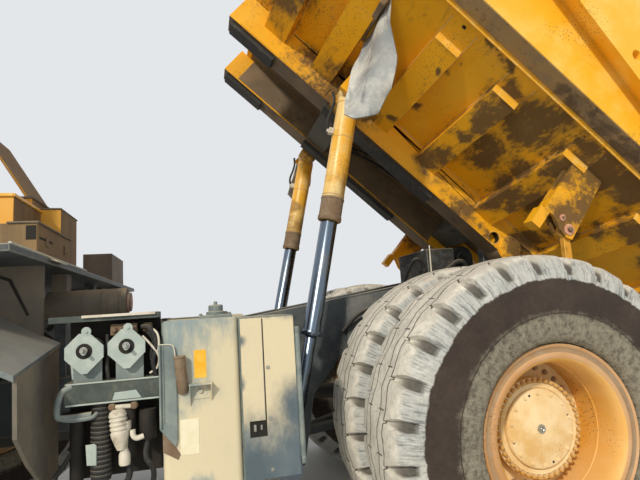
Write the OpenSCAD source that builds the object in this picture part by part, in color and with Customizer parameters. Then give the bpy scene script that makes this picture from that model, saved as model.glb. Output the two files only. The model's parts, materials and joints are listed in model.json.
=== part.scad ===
// Rigid rear-dump mining truck of the 60-tonne class, body raised as in the reference view
// X runs forward, Y to the driver's left, Z up from the ground, in millimetres
// Sections are drawn from the rear axle; truck() then moves them to the middle of the footprint

/* [Stance] */
// Rear axle to front axle
wheelbase = 4300; // [4150:10:4450]
// Between the centres of the front tyres
front_track = 3515; // [3450:5:3600]
// Between the centres of the rear twins
rear_track = 3080; // [3060:5:3140]
// Between the two tyres of one twin
twin_spacing = 742; // [730:2:760]
// Front face of the bumper ahead of the front axle
front_overhang = 1900; // [1800:10:2000]

/* [Tyres and wheels] */
// Outer radius of a tyre over its lugs
tyre_r = 1085; // [1060:5:1095]
// Width of a tyre over its sidewalls
tyre_w = 654; // [630:2:656]
// Depth of the lugs
lug_depth = 58; // [30:2:70]
// Lugs on each shoulder of a tyre
lug_count = 28; // [20:1:34]
// Width of the groove between two lugs
groove_w = 62; // [40:2:80]
// Radius of the bead seat
bead_r = 445; // [435:1:455]
// Radius of the rim flange
flange_r = 533; // [520:1:545]
// Rim width over its flanges
rim_w = 518; // [500:2:530]
// Radius of the bolted hub flange
hub_r = 306; // [290:1:320]
// Radius of the hub cover
cover_r = 241; // [220:1:255]

/* [Body] */
// Angle that the body is raised by
bed_lift = 50; // [40:1:52]
// Fall of the sills towards the front when lowered
sill_fall = 8; // [7:0.5:9]
// Body hinge behind the rear axle
pivot_back = 900; // [880:5:920]
// Height of the body hinge
pivot_z = 2380; // [2370:5:2400]
// Hinge to the foot of the front wall
bed_front = 3350; // [3300:10:3400]
// Hinge to the tail
bed_tail = 2200; // [2100:10:2300]
// Outer face of the side wall from the centre line
side_y = 2030; // [2000:5:2050]
// Thickness of the side wall
side_t = 60; // [40:2:70]
// Thickness of the floor
floor_t = 60; // [40:2:80]
// Stand-off of the top rail from the side wall
rail_out = 170; // [140:5:190]
// Top of the side walls above the hinge when lowered
side_top = 1270; // [1200:10:1320]
// Rise of the floor from the sill to the side wall
floor_vee = 13.5; // [11:0.5:15]
// Width of a sill
sill_w = 240; // [200:5:260]
// Depth of a sill
sill_h = 300; // [280:5:320]
// Middle of a sill from the centre line
sill_y = 490; // [480:5:500]
// Length of the canopy over the cab
canopy_len = 2900; // [2700:10:2950]
// Body rib width along the truck
rib_w = 235; // [180:5:260]

/* [Hoists] */
// Hoist centre line from the centre of the truck
hoist_y = 900; // [890:2:910]
// Body pin of a hoist ahead of the hinge, along the sill
hoist_u = 2121; // [2110:1:2130]
// Frame pin of a hoist ahead of the rear axle
foot_x = 1420; // [1400:5:1440]
// Frame pin of a hoist above the ground
foot_z = 740; // [730:5:760]
// Barrel radius
barrel_r = 92; // [86:1:95]
// Tube radius
tube_r = 70; // [64:1:74]
// Rod radius
rod_r = 47; // [40:1:52]
// Stroke of each of the two stages
stage_stroke = 895; // [880:1:900]
// Running gap of a rod in its gland
rod_gap = 0.1; // [0.05:0.01:0.1]

/* [Frame] */
// Middle of a frame rail from the centre line
rail_y = 490; // [480:5:500]
// Width of a frame rail
rail_w = 200; // [180:5:210]
// Gap between the lowered sill pads and the rails
seat_gap = 5; // [5:0.5:12]
// Thickness of the rubber pads under the sills
pad_t = 40; // [30:1:44]

/* [Cab and deck] */
// Top of the deck plate over the top of the front tyres
deck_over_tyre = 150; // [130:5:160]
// Thickness of the deck plate
deck_t = 40; // [20:2:50]
// Back of the cab behind the front axle
cab_behind = 650; // [620:5:680]
// Length of the cab at its floor
cab_len = 1580; // [1500:10:1620]
// Height of the cab
cab_h = 1710; // [1650:10:1720]
// Right side of the cab from the centre line
cab_in = 520; // [500:5:560]
// Left side of the cab from the centre line
cab_out = 1950; // [1900:5:1980]
// Wall thickness of the cab
cab_t = 60; // [40:2:70]

/* [Steering] */
// Kingpin inboard of the middle of its tyre
kingpin_inset = 607.5; // [600:2.5:620]
// Length of a steering arm
steer_arm = 350; // [330:5:360]

/* [Hidden] */

yellow = "#e9a61f";
frame_grey = "#43494d";
tank_grey = "#b9b8a8";
rubber = "#3a3a39";
chrome = "#c9ced4";
glass = "#9fb6bf";

pivot_x = -pivot_back;
front_x = wheelbase + front_overhang;
rail_out_y = rail_y + rail_w / 2;
deck_z = 2 * tyre_r + deck_over_tyre;
deck_low = deck_z - deck_t;
cab_back = wheelbase - cab_behind;
kingpin_y = front_track / 2 - kingpin_inset;
sill_out = sill_y + sill_w / 2;
sill_in = sill_y - sill_w / 2;
sill_low = -100;
sill_high = sill_low + sill_h;
pad_low = sill_low - pad_t;
seat_w = pad_low - seat_gap;
rail_far = side_y + rail_out;
// Height of the floor's underside over the hinge plane at a distance from the centre line
function floor_low(y) = sill_high + max(0, abs(y) - sill_out) * tan(floor_vee);
side_foot = side_y - 180;
tail_drop = 250;
// The highest corner of the raised tail is the rearmost point of the truck
tail_x = pivot_x - bed_tail * cos(bed_lift) - (side_top - tail_drop) * sin(bed_lift);
centre_x = (front_x + tail_x) / 2;

// Hoist geometry in the raised pose
sill_lift = bed_lift - sill_fall;
hoist_w = -66;
body_pin = [pivot_x + hoist_u * cos(sill_lift) - hoist_w * sin(sill_lift),
  pivot_z + hoist_u * sin(sill_lift) + hoist_w * cos(sill_lift)];
hoist_run = foot_x - body_pin[0];
hoist_drop = body_pin[1] - foot_z;
hoist_len = sqrt(hoist_run * hoist_run + hoist_drop * hoist_drop);
hoist_lean = atan2(hoist_run, hoist_drop);
gland_at = 1160;
tube_overlap = 100;
rod_overlap = 105;
eye_r = 90;
eye_w = 150;
seat_close = 0.3;
pin_r = 50;

// Moves what is drawn from the rear axle to the middle of the footprint
module truck() { translate([-centre_x, 0, 0]) children(); }
// The body's own frame: origin on the hinge, level when the body is down
module in_bed() { translate([pivot_x, 0, pivot_z]) rotate([0, -bed_lift, 0]) children(); }
// The direction of the sills within the body's frame
module along_sill() { rotate([0, sill_fall, 0]) children(); }
module both_sides() { children(); mirror([0, 1, 0]) children(); }
// Block between three pairs of limits
module block(x, y, z) { translate([x[0], y[0], z[0]]) cube([x[1] - x[0], y[1] - y[0], z[1] - z[0]]); }
// Prism with its outline in X and Z
module side_prism(points, y) { translate([0, y[1], 0]) rotate([90, 0, 0]) linear_extrude(y[1] - y[0]) polygon(points); }
// Prism with its outline in Y and Z
module cross_prism(points, x) { translate([x[0], 0, 0]) rotate([90, 0, 90]) linear_extrude(x[1] - x[0]) polygon(points); }
// Round bar along Y
module cross_bar(x, z, y, r) { translate([x, y[1], z]) rotate([90, 0, 0]) cylinder(h = y[1] - y[0], r = r, $fn = 48); }
// Round bar between two points
module bar(a, b, r) {
  d = b - a;
  h = norm(d);
  translate(a) rotate([0, acos(d[2] / h), atan2(d[1], d[0])]) cylinder(h = h, r = r, $fn = 24);
}

// Sidewall and tread outline of one half of a tyre, as radius and distance from the middle
sidewall_r = 760;
// Shoulder points, as depth under the tread and distance in from the widest point
shoulder = [[153, 16], [100, 34], [27, 80], [4, 130], [0, 180]];
function sidewall(a) = [sidewall_r + 240 * sin(a), tyre_w / 2 - 62 * (1 - cos(a))];
tyre_half = concat([[bead_r, rim_w / 2 - 43], [flange_r + 8, rim_w / 2 - 43], [flange_r + 8, rim_w / 2 + 4]],
  [for (a = [-60 : 30 : 30]) sidewall(a)],
  [for (p = shoulder) [tyre_r - p[0], tyre_w / 2 - p[1]]]);
function flip(points) = [for (i = [len(points) - 1 : -1 : 0]) [points[i][0], -points[i][1]]];

// Where the grooves end, from the middle of the tread
lug_root = 100;
// Tyre round the Y axis with a groove cut in from each shoulder between the lugs
module tyre() {
  color(rubber) difference() {
    rotate([90, 0, 0]) rotate_extrude($fn = 96) polygon(concat(tyre_half, flip(tyre_half)));
    for (side = [-1, 1]) for (i = [0 : lug_count - 1])
      rotate([0, (i + (side + 1) / 4) * 360 / lug_count, 0])
        translate([tyre_r - lug_depth, side * tyre_w / 4 + side * lug_root - tyre_w / 4, -groove_w / 2])
          cube([lug_depth * 2, tyre_w / 2, groove_w]);
  }
}
// Outline of one rim as radius and distance from the middle
rim_t = 28;
rim_half = [[bead_r - rim_t, 0], [bead_r - rim_t, rim_w / 2 - 20], [bead_r, rim_w / 2], [flange_r, rim_w / 2],
  [flange_r, rim_w / 2 - 36], [bead_r, rim_w / 2 - 43], [bead_r, 0]];
module rim_ring() {
  rotate([90, 0, 0]) rotate_extrude($fn = 96) polygon(concat(rim_half, [for (p = flip(rim_half)) if (p[1] < 0) p]));
}
// Revolved piece round the Y axis from radius and distance along Y
module hub_turn(points) { rotate([-90, 0, 0]) rotate_extrude($fn = 96) polygon(points); }

outer_twin = twin_spacing / 2;
spindle_r = 120;
spindle_gap = 0.1;
hub_face = 390;
hub_back = -560;
// Twin rims with their spacer band, hub and bolted cover, drawn about the middle of the twin
module rear_rims() {
  color(yellow) {
    for (side = [-1, 1]) translate([0, side * outer_twin, 0]) rim_ring();
    hub_turn([[bead_r - rim_t, -outer_twin], [bead_r, -outer_twin], [bead_r, outer_twin], [bead_r - rim_t, outer_twin]]);
    hub_turn([[hub_r - 27, 220], [bead_r - rim_t + 1, 220], [bead_r - rim_t + 1, 260], [hub_r - 27, 260]]);
    difference() {
      hub_turn([[0, hub_face + 12], [40, hub_face + 42], [cover_r - 60, hub_face + 42], [cover_r, hub_face + 12],
        [cover_r, hub_face], [hub_r, hub_face], [hub_r, hub_face - 60], [hub_r - 25, hub_face - 60], [hub_r - 25, hub_back],
        [0, hub_back]]);
      hub_turn([[0, hub_back - 1], [spindle_r + spindle_gap, hub_back - 1], [spindle_r + spindle_gap, hub_face - 90],
        [0, hub_face - 90]]);
    }
  }
}
front_offset = front_track / 2 - kingpin_y;
front_spindle_r = 90;
// Front rim with its hub, drawn about the middle of the tyre
module front_rim() {
  color(yellow) {
    rim_ring();
    hub_turn([[200, -40], [bead_r - rim_t + 1, -40], [bead_r - rim_t + 1, 0], [200, 0]]);
    difference() {
      hub_turn([[0, 150], [150, 150], [180, 120], [215, 110], [215, 60], [260, 60], [260, -60], [230, -60], [230, -330], [0, -330]]);
      hub_turn([[0, -331], [front_spindle_r + spindle_gap, -331], [front_spindle_r + spindle_gap, 80], [0, 80]]);
    }
  }
}

// Plain butt hinge along Z: the leaf turns on a pin that two lugs of the frame hold
hinge_bore = 8;
module hinge_leaf(x, y, z, r) {
  difference() {
    translate([x, y, z[0]]) cylinder(h = z[1] - z[0], r = r, $fn = 32);
    translate([x, y, z[0] - 1]) cylinder(h = z[1] - z[0] + 2, r = hinge_bore + rod_gap, $fn = 32);
  }
}
module hinge_frame(x, y, z, r, lug) {
  translate([x, y, z[0] - lug]) cylinder(h = z[1] - z[0] + 2 * lug, r = hinge_bore, $fn = 32);
  translate([x, y, z[0] - lug]) cylinder(h = lug - seat_close, r = r, $fn = 32);
  translate([x, y, z[1] + seat_close]) cylinder(h = lug - seat_close, r = r, $fn = 32);
}

// Frame rails with their drop legs, cross members, hinge ears and hoist feet
rail_seat = [pivot_x + 210, 2550];
// Top of the rails ahead of the lowered body, and the back of the bumper
rail_top_z = 1520;
bumper_back = front_x - 260;
rail_side = concat(
  [for (x = rail_seat) [x, pivot_z + seat_w / cos(sill_fall) - (x - pivot_x) * tan(sill_fall)]],
  [[2620, rail_top_z], [bumper_back, rail_top_z], [bumper_back, 1160], [2500, 1120], [1720, 1120], [1640, 640], [1240, 640],
   [1130, 1200], [760, 1620], [-640, 1700], [-1030, 2020], [-1030, pivot_z - 145], [pivot_x + 210, pivot_z - 145]]);
ear_r = 130;
hinge_r = 60;
// The ears stand inside the sills, and the outer face of a sill covers the pin's end
ear_y = [sill_in - 105, sill_in - 15];
pin_cover = 30;
// Box between the sills ahead of the hinge
tower_x = [-440, -150];
tower_y = 350;
// Half width of the axle's nose and its distance behind the hoist cross tube
nose_w = 85;
nose_back = 190;
filter_y = 1700;
// Top of the towers that hold the front struts
tower_top = deck_low - 160;
arm_x = [wheelbase - 145, wheelbase + 295];
module frame_rails() {
  color(frame_grey) difference() {
    union() {
      both_sides() side_prism(rail_side, [rail_y - rail_w / 2, rail_out_y]);
      block([-1030, -700], [-rail_out_y, rail_out_y], [2010, pivot_z - 145]);
      block(tower_x, [-rail_y, rail_y], [1900, 2120]);
      block(tower_x, [-tower_y, tower_y], [2119, 2420]);
      block([600, 860], [-rail_y, rail_y], [1720, 1980]);
      block([2320, 2520], [-rail_y, rail_y], [1440, 1640]);
      block([front_x - 700, front_x - 480], [-rail_y, rail_y], [1180, 1420]);
      cross_bar(foot_x, foot_z, [-rail_y, rail_y], 95);
      both_sides() block([foot_x - nose_back - 70, foot_x], [nose_w, nose_w + 45], [foot_z - 60, foot_z + 60]);
      block([bank_x[0] + 38, bank_x[0] + 218], [rail_out_y, filter_y], [1180, 1380]);
      both_sides() {
        cross_bar(pivot_x, pivot_z, ear_y, ear_r);
        block([pivot_x - ear_r, pivot_x + ear_r], ear_y, [pivot_z - 200, pivot_z]);
        cross_bar(foot_x, foot_z, [rail_out_y - 1, hoist_y - eye_w / 2 - seat_close], 90);
        block([tank_x[0] + 30, tank_x[1] - 70], [rail_out_y, tank_y[0]], [1150, 1350]);
        block([wheelbase - 120, wheelbase + 120], [rail_out_y - 1, kingpin_y], [1780, tower_top]);
        block([wheelbase - 150, wheelbase + 150], [rail_y - 60, rail_out_y], [1500, tower_top]);
        for (x = arm_x) block([x - 45, x + 45], [rail_y - 60, rail_y + 60], [700, 1200]);
        block([bumper_back - 190, bumper_back], [rail_out_y - 1, 760], [1180, 1500]);
      }
    }
    cross_bar(pivot_x, pivot_z, [-800, 800], hinge_r);
    both_sides() translate([wheelbase, kingpin_y, 1700]) cylinder(h = 500, r = strut_r, $fn = 64);
  }
  color("#8d9195") both_sides() cross_bar(pivot_x, pivot_z, [ear_y[0] - 10, sill_out - pin_cover - 10], hinge_r);
}

bumper_z = [760, 1380];
tow_x = front_x - 145;
tow_y = 600;
tow_z = 690;
tow_r = 35;
module front_bumper() {
  color(frame_grey) difference() {
    translate([0, 0, bumper_z[0]]) linear_extrude(bumper_z[1] - bumper_z[0])
      polygon([[bumper_back, -1800], [front_x - 120, -1800], [front_x, -1450],
        [front_x, 1450], [front_x - 120, 1800], [bumper_back, 1800]]);
    both_sides() translate([front_x - 80, 1180, 1130]) rotate([0, 90, 0]) cylinder(h = 200, r = 95, $fn = 48);
  }
  color(frame_grey) both_sides() difference() {
    side_prism([[front_x - 220, bumper_z[0] + 1], [front_x - 200, tow_z - 40], [front_x - 110, tow_z - 60],
      [front_x - 60, bumper_z[0] + 1]], [tow_y - 35, tow_y + 35]);
    cross_bar(tow_x, tow_z, [tow_y - 60, tow_y + 60], tow_r);
  }
}

engine_x = [wheelbase - 400, wheelbase + 1050];
module engine() {
  color("#6b6f72") {
    block(engine_x, [-360, 360], [960, deck_low - 130]);
    both_sides() block([engine_x[1] - 450, engine_x[1] - 330], [359, rail_y - rail_w / 2], [1250, 1400]);
  }
}

guard_x = [front_x - 640, front_x - 300];
module radiator_guard() {
  color(frame_grey) {
    difference() {
      block(guard_x, [-860, 860], [rail_top_z, 2900]);
      block([guard_x[0] - 40, guard_x[1] + 20], [-780, 780], [1640, 2820]);
    }
    block([guard_x[0] + 40, guard_x[0] + 140], [-781, 781], [1639, 2821]);
    for (z = [1720 : 110 : 2760]) block([guard_x[1] - 60, guard_x[1] - 20], [-781, 781], [z, z + 40]);
  }
}

gearbox_x = [engine_x[0] - 1250, engine_x[0] - 300];
module transmission() {
  color("#6b6f72") {
    block(gearbox_x, [-300, 300], [1000, 1560]);
    bar([440, 0, tyre_r], [gearbox_x[0] + 1, 0, 1240], 70);
    bar([gearbox_x[1] - 1, 0, 1300], [engine_x[0], 0, 1300], 110);
    both_sides() block([gearbox_x[0] + 400, gearbox_x[0] + 500], [299, rail_y - rail_w / 2], [1250, 1400]);
  }
}

axle_end = rear_track / 2 - 640;
module rear_axle() {
  color(frame_grey) {
    translate([0, 0, tyre_r]) {
      rotate([90, 0, 0]) cylinder(h = 2 * axle_end, r = 200, center = true, $fn = 64);
      intersection() {
        sphere(r = 430, $fn = 64);
        cube([1000, 620, 1000], center = true);
      }
      both_sides() {
        hub_turn([[0, axle_end - 180], [350, axle_end - 180], [390, axle_end - 120], [390, axle_end], [0, axle_end]]);
        hub_turn([[0, axle_end - 1], [spindle_r, axle_end - 1], [spindle_r, rear_track / 2 + hub_face - 91], [0, rear_track / 2 + hub_face - 91]]);
      }
      rotate([0, 90, 0]) cylinder(h = 420, r = 150, $fn = 48);
    }
    both_sides() {
      bar([150, 280, 950], [foot_x - nose_back - 30, 20, foot_z + 20], 45);
      block([-520, 0], [spring_y - 100, spring_y - 70], [tyre_r - 40, tyre_r + 110]);
    }
    cross_bar(foot_x - nose_back, foot_z, [-nose_w + seat_close, nose_w - seat_close], 60);
  }
}

// Lower and upper eye of a rear suspension cylinder
spring_y = rear_track / 2 - 840;
lower_eye = [-470, spring_y, 1130];
upper_eye = [-565, spring_y, 1960];
module rear_suspension() {
  run = upper_eye - lower_eye;
  color("#8b8f92") both_sides() {
    bar(lower_eye, lower_eye + 0.6 * run, 56);
    bar(lower_eye + 0.42 * run, upper_eye, 80);
    cross_bar(upper_eye[0], upper_eye[2], [rail_out_y, spring_y + 60], 90);
    cross_bar(lower_eye[0], lower_eye[2], [spring_y - 70, spring_y + 40], 72);
  }
}

strut_r = 130;
kingpin_r = 100;
strut_z = [1260, deck_low - 90];
module front_struts() {
  color(frame_grey) both_sides() {
    difference() {
      translate([wheelbase, kingpin_y, strut_z[0]]) cylinder(h = strut_z[1] - strut_z[0], r = strut_r, $fn = 64);
      translate([wheelbase, kingpin_y, strut_z[0] - 1]) cylinder(h = 701, r = kingpin_r + rod_gap, $fn = 64);
    }
    difference() {
      union() {
        for (x = arm_x) {
          bar([x, rail_y + 85, 750], [wheelbase + (x > wheelbase ? 30 : -20), kingpin_y - 40, 750], 40);
          block([x - 40, x + 40], [rail_y + 60, rail_y + 110], [705, 795]);
        }
        translate([wheelbase, kingpin_y, 695]) cylinder(h = 90, r = 105, $fn = 48);
      }
      translate([wheelbase, kingpin_y, 690]) cylinder(h = 100, r = 50 + rod_gap, $fn = 48);
    }
  }
}

arm_z = 860;
// Knuckle with its kingpin, spindle and steering arm, on the left
module knuckle() {
  color(frame_grey) translate([wheelbase, kingpin_y, 0]) {
    translate([0, 0, 900]) cylinder(h = 900, r = kingpin_r, $fn = 64);
    translate([0, 0, 696]) cylinder(h = 210, r = 50, $fn = 48);
    translate([0, 0, 800]) cylinder(h = 430, r = 160, $fn = 64);
    translate([0, 0, tyre_r]) hub_turn([[0, 60], [160, 60], [160, front_offset - 350], [0, front_offset - 350]]);
    translate([0, 0, tyre_r]) hub_turn([[0, 60], [front_spindle_r, 60], [front_spindle_r, front_offset + 79], [0, front_offset + 79]]);
    difference() {
      union() {
        block([-steer_arm, 0], [-55, 55], [arm_z - 40, arm_z + 40]);
        translate([-steer_arm, 0, arm_z - 40]) cylinder(h = 80, r = 65, $fn = 48);
      }
      translate([-steer_arm, 0, arm_z - 50]) cylinder(h = 100, r = 25 + rod_gap, $fn = 48);
      translate([-steer_arm, 0, arm_z - 66]) cylinder(h = 60, r = 120, $fn = 48);
    }
  }
}
module tie_rod() {
  color(frame_grey) {
    both_sides() translate([wheelbase - steer_arm, kingpin_y, arm_z - 45]) cylinder(h = 85, r = 25, $fn = 48);
    both_sides() translate([wheelbase - steer_arm, kingpin_y, arm_z - 60]) cylinder(h = 49, r = 58, $fn = 48);
    cross_bar(wheelbase - steer_arm, arm_z - 36, [-kingpin_y, kingpin_y], 22);
  }
}

deck_x = [wheelbase - 1400, front_x - 150];
deck_y = 2150;
module deck() {
  color(frame_grey) difference() {
    block(deck_x, [-deck_y, deck_y], [deck_low, deck_z]);
    block([guard_x[0] - 5, front_x], [-865, 865], [deck_z - 200, deck_z + 100]);
    block([deck_x[0] + 720, guard_x[0] - 140], [-440, 440], [deck_z - 200, deck_z + 100]);
  }
  color(frame_grey) both_sides() {
    for (x = [deck_x[0] + 150, guard_x[0] - 110]) block([x, x + 90], [rail_y - 60, rail_y + 60], [rail_top_z, deck_low]);
  }
}
// Mudguard behind a front tyre: sloping plate, web up to the deck and hanging flap
guard_tip = [deck_x[0] - 40, deck_low - 470];
guard_slope = 29.5;
guard_droop = 8;
guard_t = 30;
guard_y = [1450, 2200];
function guard_z(x) = guard_tip[1] + (x - guard_tip[0]) * tan(guard_slope);
guard_end = guard_tip[0] + 390;
web_x = [guard_tip[0] + 90, guard_end - 10];
web = [[web_x[0], guard_z(web_x[0]) - guard_t / 2], [web_x[1], guard_z(web_x[1]) - guard_t / 2],
  [web_x[0] + 450, deck_low - 220], [web_x[0] + 610, deck_low - 150], [web_x[0] + 670, deck_low], [web_x[0], deck_low]];
// Outline of the flap from Y and its distance under the tip of the plate
flap = [for (p = [[1500, 22], [2170, 116], [2150, 390], [1980, 550], [1830, 660], [1790, 790], [1500, 790]])
  [p[0], guard_tip[1] - p[1]]];
module mudguards() {
  color(frame_grey) both_sides() {
    side_prism(web, [guard_y[0], guard_y[0] + guard_t]);
    translate([0, guard_y[0], guard_tip[1]]) rotate([-guard_droop, 0, 0]) translate([0, -guard_y[0], -guard_tip[1]])
      side_prism([[guard_tip[0], guard_tip[1] - guard_t], guard_tip, [guard_end, guard_z(guard_end)], [guard_end, guard_z(guard_end) - guard_t]], guard_y);
  }
  color(frame_grey) both_sides() cross_prism(flap, [guard_tip[0] - 8, guard_tip[0] + 12]);
}

hood_x = wheelbase - 740;
module hood() {
  color(yellow) side_prism([[hood_x, deck_z], [hood_x, deck_z + 260], [hood_x + 140, deck_z + 330], [guard_x[0] - 20, deck_z + 330], [guard_x[0] - 20, deck_z]], [-480, 480]);
}

cab_front = cab_back + cab_len;
cab_top = deck_z + cab_h;
cab_side = [[cab_back, deck_z], [cab_front, deck_z], [cab_front + 70, deck_z + 620], [cab_front - 110, cab_top - 60],
  [cab_front - 200, cab_top], [cab_back + 60, cab_top], [cab_back, cab_top - 60]];
// The same outline one wall thickness further in
cab_room = [[cab_back + cab_t, deck_z + cab_t], [cab_front - cab_t + 6, deck_z + cab_t],
  [cab_front + 70 - cab_t, deck_z + 620], [cab_front - 110 - cab_t + 7, cab_top - 100],
  [cab_front - 225, cab_top - cab_t], [cab_back + cab_t + 30, cab_top - cab_t], [cab_back + cab_t, cab_top - cab_t - 30]];
door_x = [cab_back + 180, cab_back + 980];
door_z = [deck_z + 90, cab_top - 160];
door_gap = 10;
pane_t = 12;
pane_z = [deck_z + 760, cab_top - 170];
side_pane = [door_x[1] + 130, cab_front - 150];
far_panes = [[cab_back + 180, cab_back + 800], [cab_back + 880, cab_front - 150]];
rear_pane_y = [cab_in + 170, cab_out - 170];
hinge_z = [[door_z[0] + 200, door_z[0] + 320], [door_z[1] - 320, door_z[1] - 200]];
hinge_lug_r = 17;
hinge_x = door_x[0] - 12;
hinge_y = cab_out + hinge_lug_r;
lug_h = 30;
// Slopes back along the windscreen: X across the glass, Z up along it
screen_low = cab_side[2];
screen_rise = cab_side[3] - cab_side[2];
screen_len = norm(screen_rise);
module on_windscreen() {
  translate([screen_low[0], 0, screen_low[1]]) rotate([0, atan2(screen_rise[0], screen_rise[1]), 0]) children();
}
module windscreen(x) { on_windscreen() block(x, [cab_in + 90, cab_out - 90], [60, screen_len - 60]); }
module cab_shell() {
  color(yellow) for (z = hinge_z) {
    hinge_frame(hinge_x, hinge_y, z, hinge_lug_r, lug_h);
    for (low = [z[0] - lug_h, z[1] + seat_close])
      block([hinge_x - 30, hinge_x], [cab_out - 1, hinge_y], [low, low + lug_h - seat_close]);
  }
  color(yellow) difference() {
    side_prism(cab_side, [cab_in, cab_out]);
    side_prism(cab_room, [cab_in + cab_t, cab_out - cab_t]);
    windscreen([-cab_t - 100, 60]);
    block([cab_back - 10, cab_back + 100], rear_pane_y, pane_z);
    block([door_x[0] - door_gap, door_x[1] + door_gap], [cab_out - cab_t - 10, cab_out + 10],
      [door_z[0] - door_gap, door_z[1] + door_gap]);
    block(side_pane, [cab_out - cab_t - 10, cab_out + 10], pane_z);
    for (x = far_panes) block(x, [cab_in - 10, cab_in + cab_t + 10], pane_z);
  }
}
module cab_glass() {
  color(glass) {
    windscreen([-cab_t, -cab_t + pane_t]);
    block([cab_back + 20, cab_back + 20 + pane_t], rear_pane_y, pane_z);
    block(side_pane, [cab_out - 40, cab_out - 40 + pane_t], pane_z);
    for (x = far_panes) block(x, [cab_in + 25, cab_in + 25 + pane_t], pane_z);
  }
}
door_pane_x = [door_x[0] + 90, door_x[1] - 90];
door_pane_z = [deck_z + 760, door_z[1] - 90];
module cab_door() {
  color(yellow) for (z = hinge_z) {
    hinge_leaf(hinge_x, hinge_y, z, hinge_lug_r);
    block([door_x[0], door_x[0] + 40], [cab_out - 1, hinge_y], z);
  }
  color(yellow) difference() {
    block(door_x, [cab_out - cab_t, cab_out], door_z);
    block(door_pane_x, [cab_out - cab_t - 10, cab_out + 10], door_pane_z);
  }
}
module cab_door_glass() {
  color(glass) block(door_pane_x, [cab_out - 25 - pane_t, cab_out - 25], door_pane_z);
}
module cab_interior() {
  color("#4a4d50") {
    block([cab_back + 250, cab_back + 800], [1010, 1490], [deck_z + cab_t, deck_z + 420]);
    block([cab_back + 220, cab_back + 760], [1000, 1500], [deck_z + 420, deck_z + 560]);
    block([cab_back + 180, cab_back + 320], [1020, 1480], [deck_z + 560, deck_z + 1200]);
    block([cab_front - 330, cab_front - 60], [cab_in + cab_t, cab_out - cab_t], [deck_z + cab_t, deck_z + 560]);
    bar([cab_front - 300, 1250, deck_z + 540], [cab_front - 480, 1250, deck_z + 760], 40);
    translate([cab_front - 480, 1250, deck_z + 760]) rotate([0, -39, 0]) difference() {
      cylinder(h = 36, r = 230, $fn = 48);
      translate([0, 0, -1]) cylinder(h = 38, r = 200, $fn = 48);
    }
    translate([cab_front - 480, 1250, deck_z + 760]) rotate([0, -39, 0]) block([-205, 205], [-25, 25], [0, 30]);
  }
}

rail_top = 1050;
module rail_run(a, b, posts) {
  d = (b - a) / (posts - 1);
  for (i = [0 : posts - 1]) bar(a + i * d, a + i * d + [0, 0, rail_top], 21);
  for (h = [rail_top / 2, rail_top]) bar(a + [0, 0, h], b + [0, 0, h], 21);
}
module handrails() {
  color(yellow) {
    both_sides() rail_run([front_x - 200, 920, deck_z], [front_x - 200, 2100, deck_z], 3);
    rail_run([4400, -2100, deck_z], [front_x - 200, -2100, deck_z], 4);
    rail_run([cab_front + 110, 2100, deck_z], [front_x - 200, 2100, deck_z], 2);
  }
}
module ladders() {
  color(yellow) both_sides() {
    for (y = [1000, 1400])
      side_prism([[front_x - 60, bumper_z[1]], [front_x - 10, bumper_z[1]], [front_x - 150, deck_low], [front_x - 200, deck_low]], [y - 15, y + 15]);
    for (i = [1 : 3]) {
      t = i / 4;
      cross_bar(front_x - 35 - 140 * t, bumper_z[1] + t * (deck_low - bumper_z[1]), [1000, 1400], 20);
    }
  }
}
cleaner_x = cab_back + 900;
module air_cleaners() {
  color(yellow) {
    block([cleaner_x, cleaner_x + 800], [-1900, -900], [deck_z, deck_z + 480]);
    for (y = [-1650, -1150]) translate([cleaner_x + 100, y, deck_z + 660]) rotate([0, 90, 0]) cylinder(h = 620, r = 200, $fn = 48);
  }
}
// Boxes behind the cab with the raised screen of the largest, and an air tank hung under the deck
screen_foot = [cab_back - 485, deck_z + 470];
air_tank_y = 850;
air_tank_z = deck_low - 230;
air_tank_x = cab_back - 1115;
module deck_boxes() {
  color(yellow) {
    block([cab_back - 700, cab_back - 500], [870, 1600], [deck_z, deck_z + 200]);
    block([cab_back - 670, cab_back - 510], [560, 1000], [deck_z, deck_z + 410]);
    block([cab_back - 540, cab_back - 50], [900, 1500], [deck_z, deck_z + 400]);
    block([cab_back - 500, cab_back - 50], [500, 1050], [deck_z, deck_z + 480]);
    side_prism([screen_foot, screen_foot + [20, 0], screen_foot + [345, 540], screen_foot + [325, 540]], [500, 1050]);
    block([cab_back - 650, cab_back - 350], [-1900, -1100], [deck_z, deck_z + 350]);
  }
  color(frame_grey) {
    translate([air_tank_x + 25, air_tank_y, air_tank_z]) rotate([0, 90, 0]) cylinder(h = 540, r = 105, $fn = 64);
    translate([air_tank_x, air_tank_y, air_tank_z]) rotate([0, 90, 0]) cylinder(h = 590, r = 70, $fn = 64);
    block([air_tank_x + 425, air_tank_x + 525], [air_tank_y - 60, air_tank_y + 60], [air_tank_z + 60, deck_low]);
  }
}

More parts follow.
